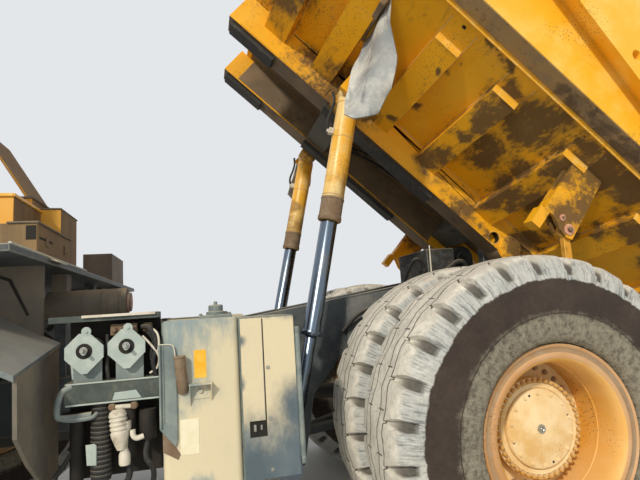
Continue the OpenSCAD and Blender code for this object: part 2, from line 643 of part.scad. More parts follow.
// The service box, the tank and the filter bank stand in a row, which shares the room between tyre and mudguard
row_len = 1290;
row_room = guard_tip[0] - 8 - tyre_r - row_len;
row_x = tyre_r + row_room * 425 / 477;
box_x = [row_x, row_x + 320];
tank_x = [box_x[1], box_x[1] + 420];
bank_x = [tank_x[1] + 12, row_x + row_len];
tank_y = [1100, 1880];
tank_z = [900, 1900];
module hydraulic_tank() {
  color(tank_grey) {
    block(tank_x, tank_y, tank_z);
    translate([tank_x[0] + 210, 1600, tank_z[1]]) cylinder(h = 40, r = 80, $fn = 48);
    translate([tank_x[0] + 210, 1600, tank_z[1]]) cylinder(h = 100, r = 35, $fn = 48);
  }
}
box_z = [1000, 1890];
door_t = 18;
door_hinge = [box_z[0] + 100, box_z[0] + 780];
module service_box() {
  color(tank_grey) for (z = [door_hinge[0] - 40, door_hinge[1] + seat_close])
    block([box_x[0] - 20, box_x[0] + 1], [tank_y[1] - 60, tank_y[1] - 18], [z, z + 40 - seat_close]);
  color(tank_grey) hinge_frame(box_x[0] - 16, tank_y[1] - 8, door_hinge, 16, 40);
  color(tank_grey) difference() {
    block(box_x, [1100, tank_y[1] - door_t - 6], box_z);
    block([box_x[0] + 30, box_x[1] - 30], [1130, tank_y[1] + 1], [box_z[0] + 30, box_z[1] - 30]);
  }
}
module service_door() {
  color(tank_grey) {
    block([box_x[0] + 2, box_x[1] - 8], [tank_y[1] - door_t, tank_y[1]], [box_z[0] + 5, box_z[1] - 5]);
    hinge_leaf(box_x[0] - 16, tank_y[1] - 8, door_hinge, 16);
    block([box_x[0] - 4, box_x[0] + 10], [tank_y[1] - 12, tank_y[1]], door_hinge);
  }
}
// Plate with clipped corners that closes a filter housing, from X and Z about its middle
cap_plate = [[-94, -28], [-94, 32], [-26, 100], [26, 100], [94, 32], [94, -28], [14, -107], [-14, -107]];
housings = [[bank_x[0] + 369, 1765], [bank_x[0] + 161, 1775]];
shelf_z = 1925;
beam_z = [1505, 1612];
bank_face = filter_y + 200;
module filter_bank() {
  color(tank_grey) {
    block([bank_x[0], bank_x[1] - 65], [filter_y, filter_y + 40], [1100, shelf_z + 1]);
    block([bank_x[0], bank_x[1] - 72], [filter_y + 39, bank_face - 15], beam_z);
    block(bank_x, [filter_y, bank_face + 5], [shelf_z, shelf_z + 32]);
    block([bank_x[1] - 225, bank_x[1] - 35], [filter_y + 39, bank_face - 30], [1430, 1452]);
    for (h = housings) {
      translate([h[0], 0, h[1]]) side_prism(cap_plate, [bank_face - 12, bank_face]);
      cross_bar(h[0], h[1], [filter_y + 39, bank_face - 11], 78);
      cross_bar(h[0], h[1], [bank_face - 1, bank_face + 16], 12);
      block([h[0] - 80, h[0] + 60], [bank_face - 55, bank_face - 40], [beam_z[1] - 1, h[1]]);
    }
    for (c = canisters) {
      translate([bank_x[0] + c[0], c[1], c[2]]) cylinder(h = c[3] - c[2], r = c[4], $fn = 48);
      block([bank_x[0] + c[0] - 25, bank_x[0] + c[0] + 25], [filter_y + 39, c[1]], [c[3] - 50, c[3] - 10]);
    }
  }
}
// Canisters under the beam: X from its near end, Y, bottom, top and radius
canisters = [[414, 1830, 1110, 1431, 30], [301, 1820, 1120, 1506, 50], [168, 1825, 1200, 1490, 42], [66, 1835, 1290, 1440, 44]];
module fuel_tank() {
  color(tank_grey) cross_prism([[-1900, 1000], [-1820, 900], [-1180, 900], [-1100, 980], [-1100, 1820], [-1180, 1900], [-1820, 1900], [-1900, 1820]], [1560, 2700]);
}
module headlamps() {
  color("#e8ecee") both_sides() translate([front_x - 80, 1180, 1130]) rotate([0, 90, 0]) cylinder(h = 60, r = 94, $fn = 48);
}
module tail_lamps() {
  color("#8a1f1a") both_sides() block([-1070, -1030], [560, 680], [2050, 2150]);
}
module mirrors() {
  color(rubber) both_sides() {
    bar([front_x - 200, 2100 + 21 + seat_close, deck_z + 900], [front_x - 200, 2560, deck_z + 900], 18);
    block([front_x - 230, front_x - 170], [2480, 2700], [deck_z + 600, deck_z + 1100]);
  }
}

// Body pieces, all in the body's own frame
front_lean = 17;
wall_t = 70;
wall_foot = -269;
// Front face of the front wall at a height over the hinge
function wall_x(z) = bed_front + (z - wall_foot) * tan(front_lean);
module bed_floor() {
  half = [[0, sill_high], [sill_out, sill_high], [side_foot, floor_low(side_foot)], [side_y - side_t, floor_low(side_foot)],
    [side_y - side_t, floor_low(side_foot) + floor_t], [side_foot, floor_low(side_foot) + floor_t],
    [sill_out, sill_high + floor_t], [0, sill_high + floor_t]];
  color(yellow) in_bed() difference() {
    along_sill() both_sides() cross_prism(half, [-2700, 4000]);
    translate([-seat_close, 0, 0]) side_prism([[wall_x(-1200) - wall_t, -1200], [wall_x(1500) - wall_t, 1500], [5000, 1500], [5000, -1200]], [-3000, 3000]);
    block([-4000, -bed_tail], [-3000, 3000], [-1000, 2000]);
  }
}
side_low = floor_low(side_foot);
// Underside of the top rail at the wall and at its outer edge, and its rise towards the front
rail_low = [665, 585];
rail_rise = 4;
// Lifting hole in the rail
lift_hole = [833, 762];
// Side walls with the sloping foot rail and the level top rail
module bed_sides() {
  color(yellow) in_bed() both_sides() {
    difference() {
      union() {
        side_prism([[-bed_tail, -700], [bed_front + 700, -700], [bed_front + 700, side_top + 500], [wall_x(side_top + 500) - 1500, side_top],
          [-bed_tail + 900, side_top], [-bed_tail, side_top - tail_drop]], [side_y - side_t, side_y]);
        intersection() {
          side_prism([[-bed_tail, 300], [bed_front + 170, 300], [bed_front + 500, side_top], [-bed_tail + 900, side_top], [-bed_tail, side_top - tail_drop]],
            [side_y - 1, rail_far]);
          rotate([0, -rail_rise, 0]) cross_prism([[side_y - 1, rail_low[0]], [rail_far, rail_low[1]], [rail_far, 3000], [side_y - 1, 3000]], [-4000, 6000]);
        }
      }
      along_sill() block([-4000, 6000], [0, 3000], [-3000, side_low]);
      side_prism([[wall_x(-1200), -1200], [wall_x(2500), 2500], [6000, 2500], [6000, -1200]], [0, 3000]);
      cross_bar(lift_hole[0], lift_hole[1], [rail_far - 70, rail_far + 10], 38);
    }
  }
}
module bed_front_wall() {
  color(yellow) in_bed() difference() {
    side_prism([[wall_x(-900) - wall_t, -900], [wall_x(-900), -900], [wall_x(side_top + 500), side_top + 500], [wall_x(side_top + 500) - wall_t, side_top + 500]], [-side_y + side_t, side_y - side_t]);
    along_sill() both_sides() cross_prism([[0, -2000], [0, sill_high], [sill_out, sill_high], [side_foot, side_low], [side_y, side_low], [side_y, -2000]], [-1000, 6000]);
  }
}
canopy_z = side_top + 500;
module bed_canopy() {
  x0 = wall_x(canopy_z) - wall_t;
  x1 = wall_x(canopy_z) + canopy_len;
  color(yellow) in_bed() {
    side_prism([[x0, canopy_z], [x0, canopy_z + 60], [x1, canopy_z + 230], [x1, canopy_z + 170]], [-side_y, side_y]);
    for (y = [-side_y, -700, 700 - side_t, side_y - side_t])
      side_prism([[x0 + 200, canopy_z + 1], [x1, canopy_z + 175], [x1, canopy_z + 110], [x0 + 200, canopy_z - 90]], [y, y + side_t]);
  }
}
sill_front = 3420;
// Open hole in the outer face of a sill, ahead of the hinge
sill_hole = [180, -28];
module bed_sills() {
  color(yellow) in_bed() along_sill() difference() {
    union() {
      both_sides() {
        block([0, sill_front], [sill_in, sill_out], [sill_low, sill_high]);
        block([-2100, 1], [sill_in, sill_out], [110, sill_high]);
        cross_bar(0, 0, [sill_in, sill_out], ear_r);
        for (y = [[sill_out - 1, hoist_y - eye_w / 2 - 26], [hoist_y + eye_w / 2 + 26, hoist_y + eye_w / 2 + 76]])
          cross_prism([[y[0], hoist_w - 90], [y[1], hoist_w - 90], [y[1], floor_low(y[1]) - 2 * seat_close],
            [y[0], floor_low(y[0]) - 2 * seat_close]], [hoist_u - 90, hoist_u + 90]);
        cross_bar(hoist_u, hoist_w, [sill_out, hoist_y + eye_w / 2 + 60], pin_r);
      }
      block([hoist_u - 130, hoist_u + 130], [-sill_in - 1, sill_in + 1], [sill_low + 10, sill_high]);
      block([190, 420], [-sill_in - 1, sill_in + 1], [0, sill_high]);
      block([-700, -480], [-sill_in - 1, sill_in + 1], [110, sill_high]);
    }
    both_sides() cross_bar(0, 0, [0, sill_out - pin_cover], hinge_r + rod_gap);
    both_sides() cross_bar(sill_hole[0], sill_hole[1], [sill_out - 70, sill_out + 1], 55);
  }
}
// Places of the ribs along the sills
rib_u = [-1850, -1150, -400, 390, 1150, 1750, 2455, 3015];
rib_foot = 50;
rib_tip = [1600, 370];
rib_lip = 62;
module bed_ribs() {
  tip = [rib_tip, rib_tip + [0, rib_lip], [1780, floor_low(1780)], [sill_out, floor_low(sill_out)]];
  rib = concat([[sill_out, rib_foot]], tip);
  high_rib = concat([[sill_out, 112]], tip);
  color(yellow) in_bed() along_sill() both_sides() for (u = rib_u)
    cross_prism(u < -300 ? high_rib : rib, [u - rib_w / 2, u + rib_w / 2]);
  color(yellow) in_bed() along_sill() both_sides() {
    for (y = [ejector_y - ejector_w - 31, ejector_y + ejector_w + 1])
      side_prism(concat(bracket, [[385, floor_low(y) - seat_close], [105, floor_low(y) - seat_close]]), [y, y + 30]);
    block([330, 384], [ejector_y - ejector_w - 2, ejector_y + ejector_w + 2], [-100, 60]);
    block([330, 415], [ejector_y - 50, ejector_y + 50], [-260, -99]);
    cross_bar(ejector_pin[0], ejector_pin[1], [ejector_y - ejector_w - 20, ejector_y + ejector_w + 20], ejector_r);
  }
}
module sill_pads() {
  color(rubber) in_bed() along_sill() both_sides() for (u = [[900, 2250], [2880, 3380]])
    block(u, [sill_y - 80, sill_y + 80], [pad_low, sill_low]);
}
// Behind the rib that holds the flap
flap_u = rib_u[6] - rib_w / 2;
module mud_flaps() {
  color(rubber) in_bed() along_sill() both_sides()
    side_prism([[flap_u - 14, 290], [flap_u, 290], [flap_u, 0], [2014, -440], [2000, -436], [flap_u - 14, -10]], [1070, 1560]);
}
ejector_y = rear_track / 2;
ejector_pin = [128, -104];
// Side of the bar's bracket below the floor, along and across the sill
bracket = [[70, -20], [62, -150], [110, -168], [190, -152], [290, -100], [385, -100]];
ejector_w = 24;
ejector_r = 20;
ejector_len = 860;
ejector_half = 30;
// Bar that hangs between the twin tyres, on its pin under the floor
module rock_ejector() {
  hang = [pivot_x + ejector_pin[0] * cos(sill_lift) - ejector_pin[1] * sin(sill_lift),
    pivot_z + ejector_pin[0] * sin(sill_lift) + ejector_pin[1] * cos(sill_lift)];
  y = [ejector_y - ejector_w, ejector_y + ejector_w];
  color(yellow) difference() {
    union() {
      cross_bar(hang[0], hang[1], y, 2 * ejector_half);
      block([hang[0] - ejector_half, hang[0] + ejector_half], y, [hang[1] - ejector_len, hang[1]]);
    }
    cross_bar(hang[0], hang[1], [y[0] - 20, y[1] + 20], ejector_r + rod_gap);
  }
}

// Hoist parts hang from the body pin, drawn downwards along the cylinder
module hoist_axis() { translate([body_pin[0], hoist_y, body_pin[1]]) rotate([0, -hoist_lean, 0]) mirror([0, 0, 1]) children(); }
module hoist_barrel() {
  color(yellow) hoist_axis() difference() {
    union() {
      translate([0, 0, 60]) cylinder(h = gland_at - 60, r = barrel_r, $fn = 64);
      rotate([90, 0, 0]) cylinder(h = eye_w, r = eye_r, center = true, $fn = 64);
    }
    translate([0, 0, 160]) cylinder(h = gland_at, r = tube_r + rod_gap, $fn = 64);
    rotate([90, 0, 0]) cylinder(h = eye_w + 10, r = pin_r + rod_gap, center = true, $fn = 64);
  }
}
tube_top = gland_at - tube_overlap;
tube_end = tube_top + stage_stroke + 146;
module hoist_tube() {
  color(chrome) hoist_axis() difference() {
    union() {
      translate([0, 0, tube_top]) cylinder(h = tube_end - tube_top, r = tube_r, $fn = 64);
      translate([0, 0, tube_end - 40]) cylinder(h = 40, r = tube_r + 14, $fn = 64);
    }
    translate([0, 0, tube_top + 20]) cylinder(h = tube_end, r = rod_r + rod_gap, $fn = 64);
  }
}
rod_top = tube_end - rod_overlap;
module hoist_rod() {
  color(chrome) hoist_axis() {
    translate([0, 0, rod_top]) cylinder(h = hoist_len - rod_top, r = rod_r, $fn = 64);
    translate([0, 0, hoist_len]) rotate([90, 0, 0]) cylinder(h = eye_w, r = eye_r, center = true, $fn = 64);
  }
}

module twin(side) { translate([0, side * rear_track / 2, tyre_r]) rotate([0, 0, side > 0 ? 0 : 180]) children(); }
module front(side) { translate([wheelbase, side * front_track / 2, tyre_r]) rotate([0, 0, side > 0 ? 0 : 180]) children(); }
module rear_tyres() { for (side = [-1, 1]) translate([0, side * outer_twin, 0]) tyre(); }

truck() frame_rails();
truck() front_bumper();
truck() engine();
truck() radiator_guard();
truck() transmission();
truck() rear_axle();
truck() rear_suspension();
truck() front_struts();
truck() deck();
truck() mudguards();
truck() hood();
truck() cab_shell();
truck() cab_interior();
truck() cab_glass();
truck() cab_door();
truck() cab_door_glass();
truck() handrails();
truck() ladders();
truck() air_cleaners();
truck() deck_boxes();
truck() hydraulic_tank();
truck() service_box();
truck() service_door();
truck() filter_bank();
truck() fuel_tank();
truck() headlamps();
truck() tail_lamps();
truck() mirrors();
truck() bed_floor();
truck() bed_sides();
truck() bed_front_wall();
truck() bed_canopy();
truck() bed_sills();
truck() bed_ribs();
truck() sill_pads();
truck() mud_flaps();
truck() rock_ejector();  // rock_ejector_left
truck() mirror([0, 1, 0]) rock_ejector();  // rock_ejector_right
truck() hoist_barrel();  // hoist_barrel_left
truck() hoist_tube();  // hoist_tube_left
truck() hoist_rod();  // hoist_rod_left
truck() mirror([0, 1, 0]) hoist_barrel();  // hoist_barrel_right
truck() mirror([0, 1, 0]) hoist_tube();  // hoist_tube_right
truck() mirror([0, 1, 0]) hoist_rod();  // hoist_rod_right
truck() knuckle();  // knuckle_left
truck() mirror([0, 1, 0]) knuckle();  // knuckle_right
truck() tie_rod();
truck() front(1) tyre();  // front_tyre_left
truck() front(1) front_rim();  // front_rim_left
truck() front(-1) tyre();  // front_tyre_right
truck() front(-1) front_rim();  // front_rim_right
truck() twin(1) rear_tyres();  // rear_tyres_left
truck() twin(1) rear_rims();  // rear_rims_left
truck() twin(-1) rear_tyres();  // rear_tyres_right
truck() twin(-1) rear_rims();  // rear_rims_right
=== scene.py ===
# Mining dump truck with its body raised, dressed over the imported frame
import json
import math
import bmesh
import bpy
import numpy as np
from mathutils import Matrix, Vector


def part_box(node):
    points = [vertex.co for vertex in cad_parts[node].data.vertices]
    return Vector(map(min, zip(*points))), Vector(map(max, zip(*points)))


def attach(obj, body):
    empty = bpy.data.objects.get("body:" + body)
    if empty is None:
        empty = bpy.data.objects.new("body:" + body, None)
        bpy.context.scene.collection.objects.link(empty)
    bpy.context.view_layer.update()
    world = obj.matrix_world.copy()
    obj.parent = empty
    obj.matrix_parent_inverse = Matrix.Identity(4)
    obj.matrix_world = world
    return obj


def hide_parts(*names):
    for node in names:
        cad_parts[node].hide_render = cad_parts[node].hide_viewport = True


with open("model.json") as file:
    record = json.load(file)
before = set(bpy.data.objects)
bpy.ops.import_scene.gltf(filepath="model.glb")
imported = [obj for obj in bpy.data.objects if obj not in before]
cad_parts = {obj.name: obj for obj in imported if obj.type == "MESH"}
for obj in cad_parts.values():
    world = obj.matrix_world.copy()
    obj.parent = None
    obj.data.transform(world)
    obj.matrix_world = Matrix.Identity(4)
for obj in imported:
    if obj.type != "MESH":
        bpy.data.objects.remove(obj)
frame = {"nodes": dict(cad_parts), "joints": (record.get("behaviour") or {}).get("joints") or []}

scene = bpy.context.scene
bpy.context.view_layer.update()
jointAt = {joint["name"]: np.array(joint.get("pos_m", (0, 0, 0)), float) for joint in frame["joints"]}


def boxOf(node):
    # Lowest corner, highest corner and middle of a CAD node, as arrays in metres
    low, high = (np.array(corner, float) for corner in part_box(node))
    return low, high, (low + high) / 2


# Colours and nodes

def linearColour(hexValue):
    # Each sRGB byte to linear light
    channels = [int(hexValue[i:i + 2], 16) / 255 for i in (1, 3, 5)]
    return [c / 12.92 if c <= 0.04045 else ((c + 0.055) / 1.055) ** 2.4 for c in channels] + [1.0]


def addNode(tree, kind, links=None, **settings):
    # One shader node with its settings, then its inputs as values or links
    node = tree.nodes.new("ShaderNode" + kind)
    for key, value in settings.items():
        setattr(node, key, value)
    for key, value in (links or {}).items():
        if isinstance(value, bpy.types.NodeSocket):
            tree.links.new(value, node.inputs[key])
        else:
            node.inputs[key].default_value = value
    return node


def newMaterial(name):
    material = bpy.data.materials.new(name)
    material.use_nodes = True
    tree = material.node_tree
    return material, tree, tree.nodes["Principled BSDF"]


def maths(tree, operation, a, b=0.0, clamp=False):
    return addNode(tree, "Math", {0: a, 1: b}, operation=operation, use_clamp=clamp).outputs[0]


def times(tree, a, b, clamp=False):
    return maths(tree, "MULTIPLY", a, b, clamp)


def plus(tree, a, b, clamp=False):
    return maths(tree, "ADD", a, b, clamp)


def minus(tree, a, b, clamp=False):
    return maths(tree, "SUBTRACT", a, b, clamp)


def most(tree, a, b):
    return maths(tree, "MAXIMUM", a, b)


def ramp(tree, value, low, high):
    # 0 below low, 1 above high, smooth between
    links = {"Value": value, "From Min": low, "From Max": high}
    return addNode(tree, "MapRange", links, interpolation_type="SMOOTHSTEP").outputs[0]


def blend(tree, mask, under, over):
    # A colour over another where the mask is 1; colours are sockets or hex values
    node = addNode(tree, "Mix", None, data_type="RGBA")
    for key, value in zip((0, 6, 7), (mask, under, over)):
        if isinstance(value, bpy.types.NodeSocket):
            tree.links.new(value, node.inputs[key])
        else:
            node.inputs[key].default_value = linearColour(value) if isinstance(value, str) else value
    return node.outputs[2]


def noise(tree, coords, sizeMm, detail, rough=0.5):
    # Cloudy noise with its main swell about sizeMm across
    links = {"Vector": coords, "Scale": 1000.0 / sizeMm, "Detail": detail, "Roughness": rough}
    return addNode(tree, "TexNoise", links).outputs


def noiseMask(tree, coords, sizeMm, low, high, detail=4.0, rough=0.6):
    # Patches about sizeMm across
    return ramp(tree, noise(tree, coords, sizeMm, detail, rough)["Fac"], low, high)


def nearPoints(tree, coords, points):
    # 1 at each listed point, falling to 0 at its radius; the largest wins
    total = None
    for x, y, z, radius in points:
        gap = addNode(tree, "VectorMath", {0: coords, 1: (x, y, z)}, operation="DISTANCE").outputs["Value"]
        fall = minus(tree, 1.0, maths(tree, "DIVIDE", gap, radius), clamp=True)
        total = fall if total is None else most(tree, total, fall)
    return total


# Weathered paint: a base coat with faded patches, grime, rust dots and settled dust, each as colour, share
# from 0 to 1 and size in millimetres. Spots are places where grime gathers or dust is rubbed off, cover is an
# even coat of dust, and up is the way dust settles in the piece's own space
paintDefaults = {
    "fade": ("#ffffff", 0.0, 600), "grime": ("#4a3b2c", 0.2, 420), "dots": ("#4a3322", 0.15, 14),
    "dust": ("#b5a88c", 0.3, 260), "grimeSpots": (), "bareSpots": (), "cover": 0.0, "up": (0, 0, 1),
    "stretch": (1, 1, 1), "frayMm": 70, "fray": 0.9, "warpMm": 240, "warp": 0.45,
    "streaks": 0.0, "rough": 0.5, "bumpMm": 1.2, "metal": 0.0,
}


def driftedPlace(tree, place, spec):
    # The place pushed about by a slow noise, so that spots lose their round outline
    drift = noise(tree, place, spec["warpMm"], 3.0)["Color"]
    centred = addNode(tree, "VectorMath", {0: drift, 1: (0.5, 0.5, 0.5)}, operation="SUBTRACT").outputs[0]
    scaled = addNode(tree, "VectorMath", {0: centred, "Scale": spec["warp"]}, operation="SCALE").outputs[0]
    return addNode(tree, "VectorMath", {0: place, 1: scaled}, operation="ADD").outputs[0]


def weatheredPaint(name, base, **changes):
    spec = dict(paintDefaults, **changes)
    layers = [spec[key] + paintDefaults[key][len(spec[key]):] for key in ("fade", "grime", "dots", "dust")]
    (fadeTint, fadeShare, fadeMm), (grimeTint, grimeShare, grimeMm), dotLayer, dustLayer = layers
    (dotTint, dotShare, dotMm), (dustTint, dustShare, dustMm) = dotLayer, dustLayer
    material, tree, shader = newMaterial(name)
    coord = addNode(tree, "TexCoord")
    place = coord.outputs["Object"]
    patches = noiseMask(tree, place, fadeMm, 0.42, 0.66)
    colour = blend(tree, times(tree, patches, fadeShare), base, fadeTint)
    if spec["streaks"]:
        tall = addNode(tree, "Mapping", {"Vector": place, "Scale": (14, 14, 0.9)}).outputs[0]
        runs = ramp(tree, noise(tree, tall, 1000.0, 3.0)["Fac"], 0.5, 0.75)
        colour = blend(tree, times(tree, runs, spec["streaks"]), colour, grimeTint)
    cloud = noise(tree, place, grimeMm, 6.0, 0.68)["Fac"]
    grime = ramp(tree, cloud, 0.74 - 0.4 * grimeShare, 0.86 - 0.3 * grimeShare)
    grime = times(tree, grime, min(1.0, 0.35 + grimeShare))
    # Frayed edge for the spots: a fine noise, stretched where the wear runs one way, and a slow swell
    pulled = addNode(tree, "Mapping", {"Vector": place, "Scale": spec["stretch"]}).outputs[0]
    frayed = noise(tree, pulled, spec["frayMm"], 7.0, 0.72)["Fac"]
    frayed = times(tree, minus(tree, frayed, 0.5), 2.4 * spec["fray"])
    frayed = plus(tree, frayed, times(tree, minus(tree, cloud, 0.5), 0.8))
    if spec["grimeSpots"] or spec["bareSpots"]:
        drifted = driftedPlace(tree, place, spec)
    if spec["grimeSpots"]:
        near = nearPoints(tree, drifted, spec["grimeSpots"])
        soft = times(tree, ramp(tree, near, 0.0, 0.55), 0.5)
        torn = ramp(tree, plus(tree, near, frayed), 0.06, 0.60)
        grime = most(tree, grime, most(tree, soft, torn))
    colour = blend(tree, times(tree, grime, 0.86), colour, grimeTint)
    # Rust dots, thicker in some places and under grime
    links = {"Vector": place, "Scale": 1000.0 / (dotMm * 2.2), "Randomness": 1.0}
    cells = addNode(tree, "TexVoronoi", links).outputs["Distance"]
    where = noiseMask(tree, place, 520, 0.72 - 0.5 * dotShare, 0.80 - 0.3 * dotShare, 5.0)
    dots = minus(tree, 1.0, ramp(tree, cells, 0.16, 0.30))
    dots = times(tree, dots, most(tree, where, times(tree, grime, 0.5)))
    colour = blend(tree, times(tree, dots, 0.85), colour, dotTint)
    # Dust: on faces that look up, in cakes, as an even cover, and off where the bare spots are
    sides = {0: coord.outputs["Normal"], 1: spec["up"]}
    facing = addNode(tree, "VectorMath", sides, operation="DOT_PRODUCT")
    settled = times(tree, ramp(tree, facing.outputs["Value"], 0.25, 0.95), 0.75)
    cake = noiseMask(tree, place, dustMm, 0.62 - 0.35 * dustShare, 0.86 - 0.2 * dustShare, 7.0, 0.7)
    dust = most(tree, settled, times(tree, cake, 0.25 + 0.75 * dustShare))
    dust = times(tree, dust, min(1.0, 2.2 * dustShare), clamp=True)
    if spec["cover"]:
        dust = most(tree, dust, plus(tree, spec["cover"], times(tree, frayed, 0.12), clamp=True))
    if spec["bareSpots"]:
        near = nearPoints(tree, drifted, spec["bareSpots"])
        torn = plus(tree, near, times(tree, frayed, 0.5))
        dust = times(tree, dust, minus(tree, 1.0, ramp(tree, torn, 0.05, 0.75)))
    colour = blend(tree, dust, colour, dustTint)
    fine = addNode(tree, "TexNoise", {"Vector": place, "Scale": 160.0, "Detail": 3.0}).outputs["Fac"]
    level = minus(tree, plus(tree, fine, times(tree, grime, 1.2)), dots)
    bump = addNode(tree, "Bump", {"Height": level, "Strength": 0.5, "Distance": spec["bumpMm"] / 1000})
    rough = plus(tree, spec["rough"], times(tree, most(tree, grime, dust), 0.35), clamp=True)
    tree.links.new(colour, shader.inputs["Base Color"])
    tree.links.new(rough, shader.inputs["Roughness"])
    tree.links.new(bump.outputs[0], shader.inputs["Normal"])
    shader.inputs["Metallic"].default_value = spec["metal"]
    return material


# The body's frame: u along the sills and w across them, from the hinge

bedPlan = {
    "liftDeg": 50.0, "sillFallDeg": 8.0, "ribs": [-1.85, -1.15, -0.40, 0.39, 1.15, 1.75, 2.455, 3.015],
    "ribHalf": 0.1175, "tip": (1.6, 0.37), "sillOut": 0.61, "sillHigh": 0.20, "foot": 1.85,
    "vee": math.tan(math.radians(13.5)), "sillLow": -0.085, "greaseOut": 0.62, "blockOut": 0.365,
}
hinge = jointAt["bed_tilt"]
sillAngle = math.radians(bedPlan["liftDeg"] - bedPlan["sillFallDeg"])
bedAngle = math.radians(bedPlan["liftDeg"])


def turned(points, angle):
    # Points as (along, y, up) of a frame tilted nose up by angle about the hinge, to the row frame
    p = np.asarray(points, float)
    along = np.array([math.cos(angle), 0, math.sin(angle)])
    up = np.array([-math.sin(angle), 0, math.cos(angle)])
    return hinge + p[..., 0:1] * along + p[..., 1:2] * np.array([0, 1, 0]) + p[..., 2:3] * up


def fromSill(points):
    return turned(points, sillAngle)


def grimePoints(rows):
    # Grime patches listed along the sills as u, y, w, radius
    return [tuple(fromSill(row[:3])) + (row[3] * 1.25,) for row in rows]


bedGrime = grimePoints([
    (0.82, 1.56, 0.43, 0.30), (0.71, 1.73, 0.47, 0.18), (1.05, 1.47, 0.33, 0.19), (1.16, 1.60, 0.42, 0.16),
    (1.14, 0.83, 0.12, 0.18), (1.15, 0.67, 0.07, 0.15), (1.11, 1.14, 0.22, 0.12), (0.88, 0.99, 0.29, 0.19),
    (0.83, 1.13, 0.32, 0.16), (0.45, 1.73, 0.41, 0.16), (0.18, 1.68, 0.46, 0.31), (-0.05, 1.70, 0.46, 0.24),
    (0.41, 1.51, 0.34, 0.19), (0.42, 1.34, 0.29, 0.11), (0.48, 1.01, 0.18, 0.19), (0.49, 0.81, 0.11, 0.17),
    (0.25, 0.99, 0.29, 0.20), (0.24, 1.19, 0.34, 0.18), (0.93, 1.92, 0.49, 0.10), (0.73, 1.92, 0.49, 0.13),
    (0.52, 1.91, 0.49, 0.13), (0.28, 1.89, 0.49, 0.15), (1.63, 1.10, 0.21, 0.06), (1.67, 0.81, 0.12, 0.07),
    (1.60, 1.45, 0.38, 0.07), (1.62, 0.95, 0.26, 0.08), (1.33, 1.77, 0.48, 0.07), (1.45, 1.80, 0.49, 0.06),
    (0.13, 1.60, 0.15, 0.20), (0.18, 1.60, -0.04, 0.17), (0.0, 1.60, 0.20, 0.16), (0.60, 0.62, 0.0, 0.20),
    (0.92, 0.62, 0.02, 0.12), (0.60, 1.20, 0.33, 0.12), (1.12, 1.34, 0.30, 0.14),
    (0.40, 1.62, 0.37, 0.10), (-0.26, 1.33, 0.28, 0.14), (-0.38, 1.49, 0.33, 0.20),
    (-0.16, 0.62, 0.20, 0.18), (-0.22, 0.91, 0.27, 0.14),
    (0.30, 0.62, -0.05, 0.10), (-0.10, 0.62, 0.02, 0.16), (2.20, 0.55, 0.0, 0.40), (2.60, 0.40, 0.1, 0.30),
    (1.20, -0.3, 0.2, 0.4), (2.0, -0.5, 0.0, 0.35), (1.0, -1.5, 0.40, 0.32), (0.2, -1.5, 0.42, 0.34),
    (1.13, -0.8, 0.12, 0.2), (0.45, -0.9, 0.15, 0.2), (-0.9, 1.4, 0.42, 0.3), (-1.6, -1.2, 0.4, 0.35),
    (3.1, 0.9, 0.3, 0.3),
])
bedUp = tuple(np.array([-math.sin(bedAngle), 0, math.cos(bedAngle)]))

# The near hoist: its upper pin and the way it runs down
hoist = {"eye": np.array([-0.83188, 0.9, 3.75018]), "run": np.array([0.226386, 0, -0.974038])}
hoistWear = []
for down, radius in ((1.05, 0.26), (0.85, 0.2), (0.62, 0.12)):
    x, y, z = hoist["eye"] + down * hoist["run"]
    hoistWear += [(x, -y, z, radius), (x, y, z, radius)]
# Dark patches on the frame round the body's hinge mounts: grease, and painted shade where the raised body
# shades them
hingeGreaseAndShade = [(hinge[0] + x, y, z, radius) for x, z, radius in ((0.55, 2.35, 0.75), (0.95, 2.15, 0.55),
    (0.0, 2.2, 0.5)) for y in (-0.7, 0.0, 0.7)]

print("materials")
# Thick alkyd enamel, faded by sun: warm yellow with soft gloss, grease and mud on its underside
bodyEnamel = weatheredPaint("body enamel, sun-faded", "#eeac12", fade=("#f4bd34", 0.5),
    grime=("#42352a", 0.10), dots=("#4a3322", 0.46, 9), dust=("#a8906a", 0.26), grimeSpots=bedGrime,
    up=bedUp, rough=0.42, stretch=(1.5, 0.5, 1.5), fray=0.6, frayMm=55)
scouredSteel = weatheredPaint("wear plate, scoured by rock", "#7d7569", fade=("#9a8f7d", 0.8, 380),
    grime=("#5a4632", 0.4), dots=("#3b3026", 0.4, 8), dust=("#b3a084", 0.6), up=bedUp, rough=0.5,
    metal=0.25)
# Chalked enamel made lighter than the body's as painted sunlight, for the side walls' outer faces
sunlitSideEnamel = weatheredPaint("body side enamel, chalked by sun", "#f4b92c", fade=("#f8d06a", 0.8, 420),
    grime=("#8a6a3c", 0.1), dots=("#7a4c2c", 0.5, 9), dust=("#dfc690", 0.2), up=bedUp, rough=0.36)
bodyEdge = weatheredPaint("body enamel, rubbed edge", "#e9b64a", fade=("#c9a878", 0.8),
    grime=("#4a3b2c", 0.25), dots=("#4a3322", 0.5, 9), dust=("#b5a88c", 0.2), grimeSpots=bedGrime, up=bedUp,
    rough=0.5)
machineEnamel = weatheredPaint("machine enamel, sprayed", "#e6a936", fade=("#e2be7c", 0.6),
    grime=("#4a3b2c", 0.22), dots=("#4a3322", 0.3), dust=("#b5a88c", 0.34), rough=0.46)
machineEdge = weatheredPaint("machine enamel, rubbed edge", "#d9b05c", fade=("#b9a27a", 0.8),
    grime=("#4a3b2c", 0.3), dots=("#4a3322", 0.4), rough=0.55)
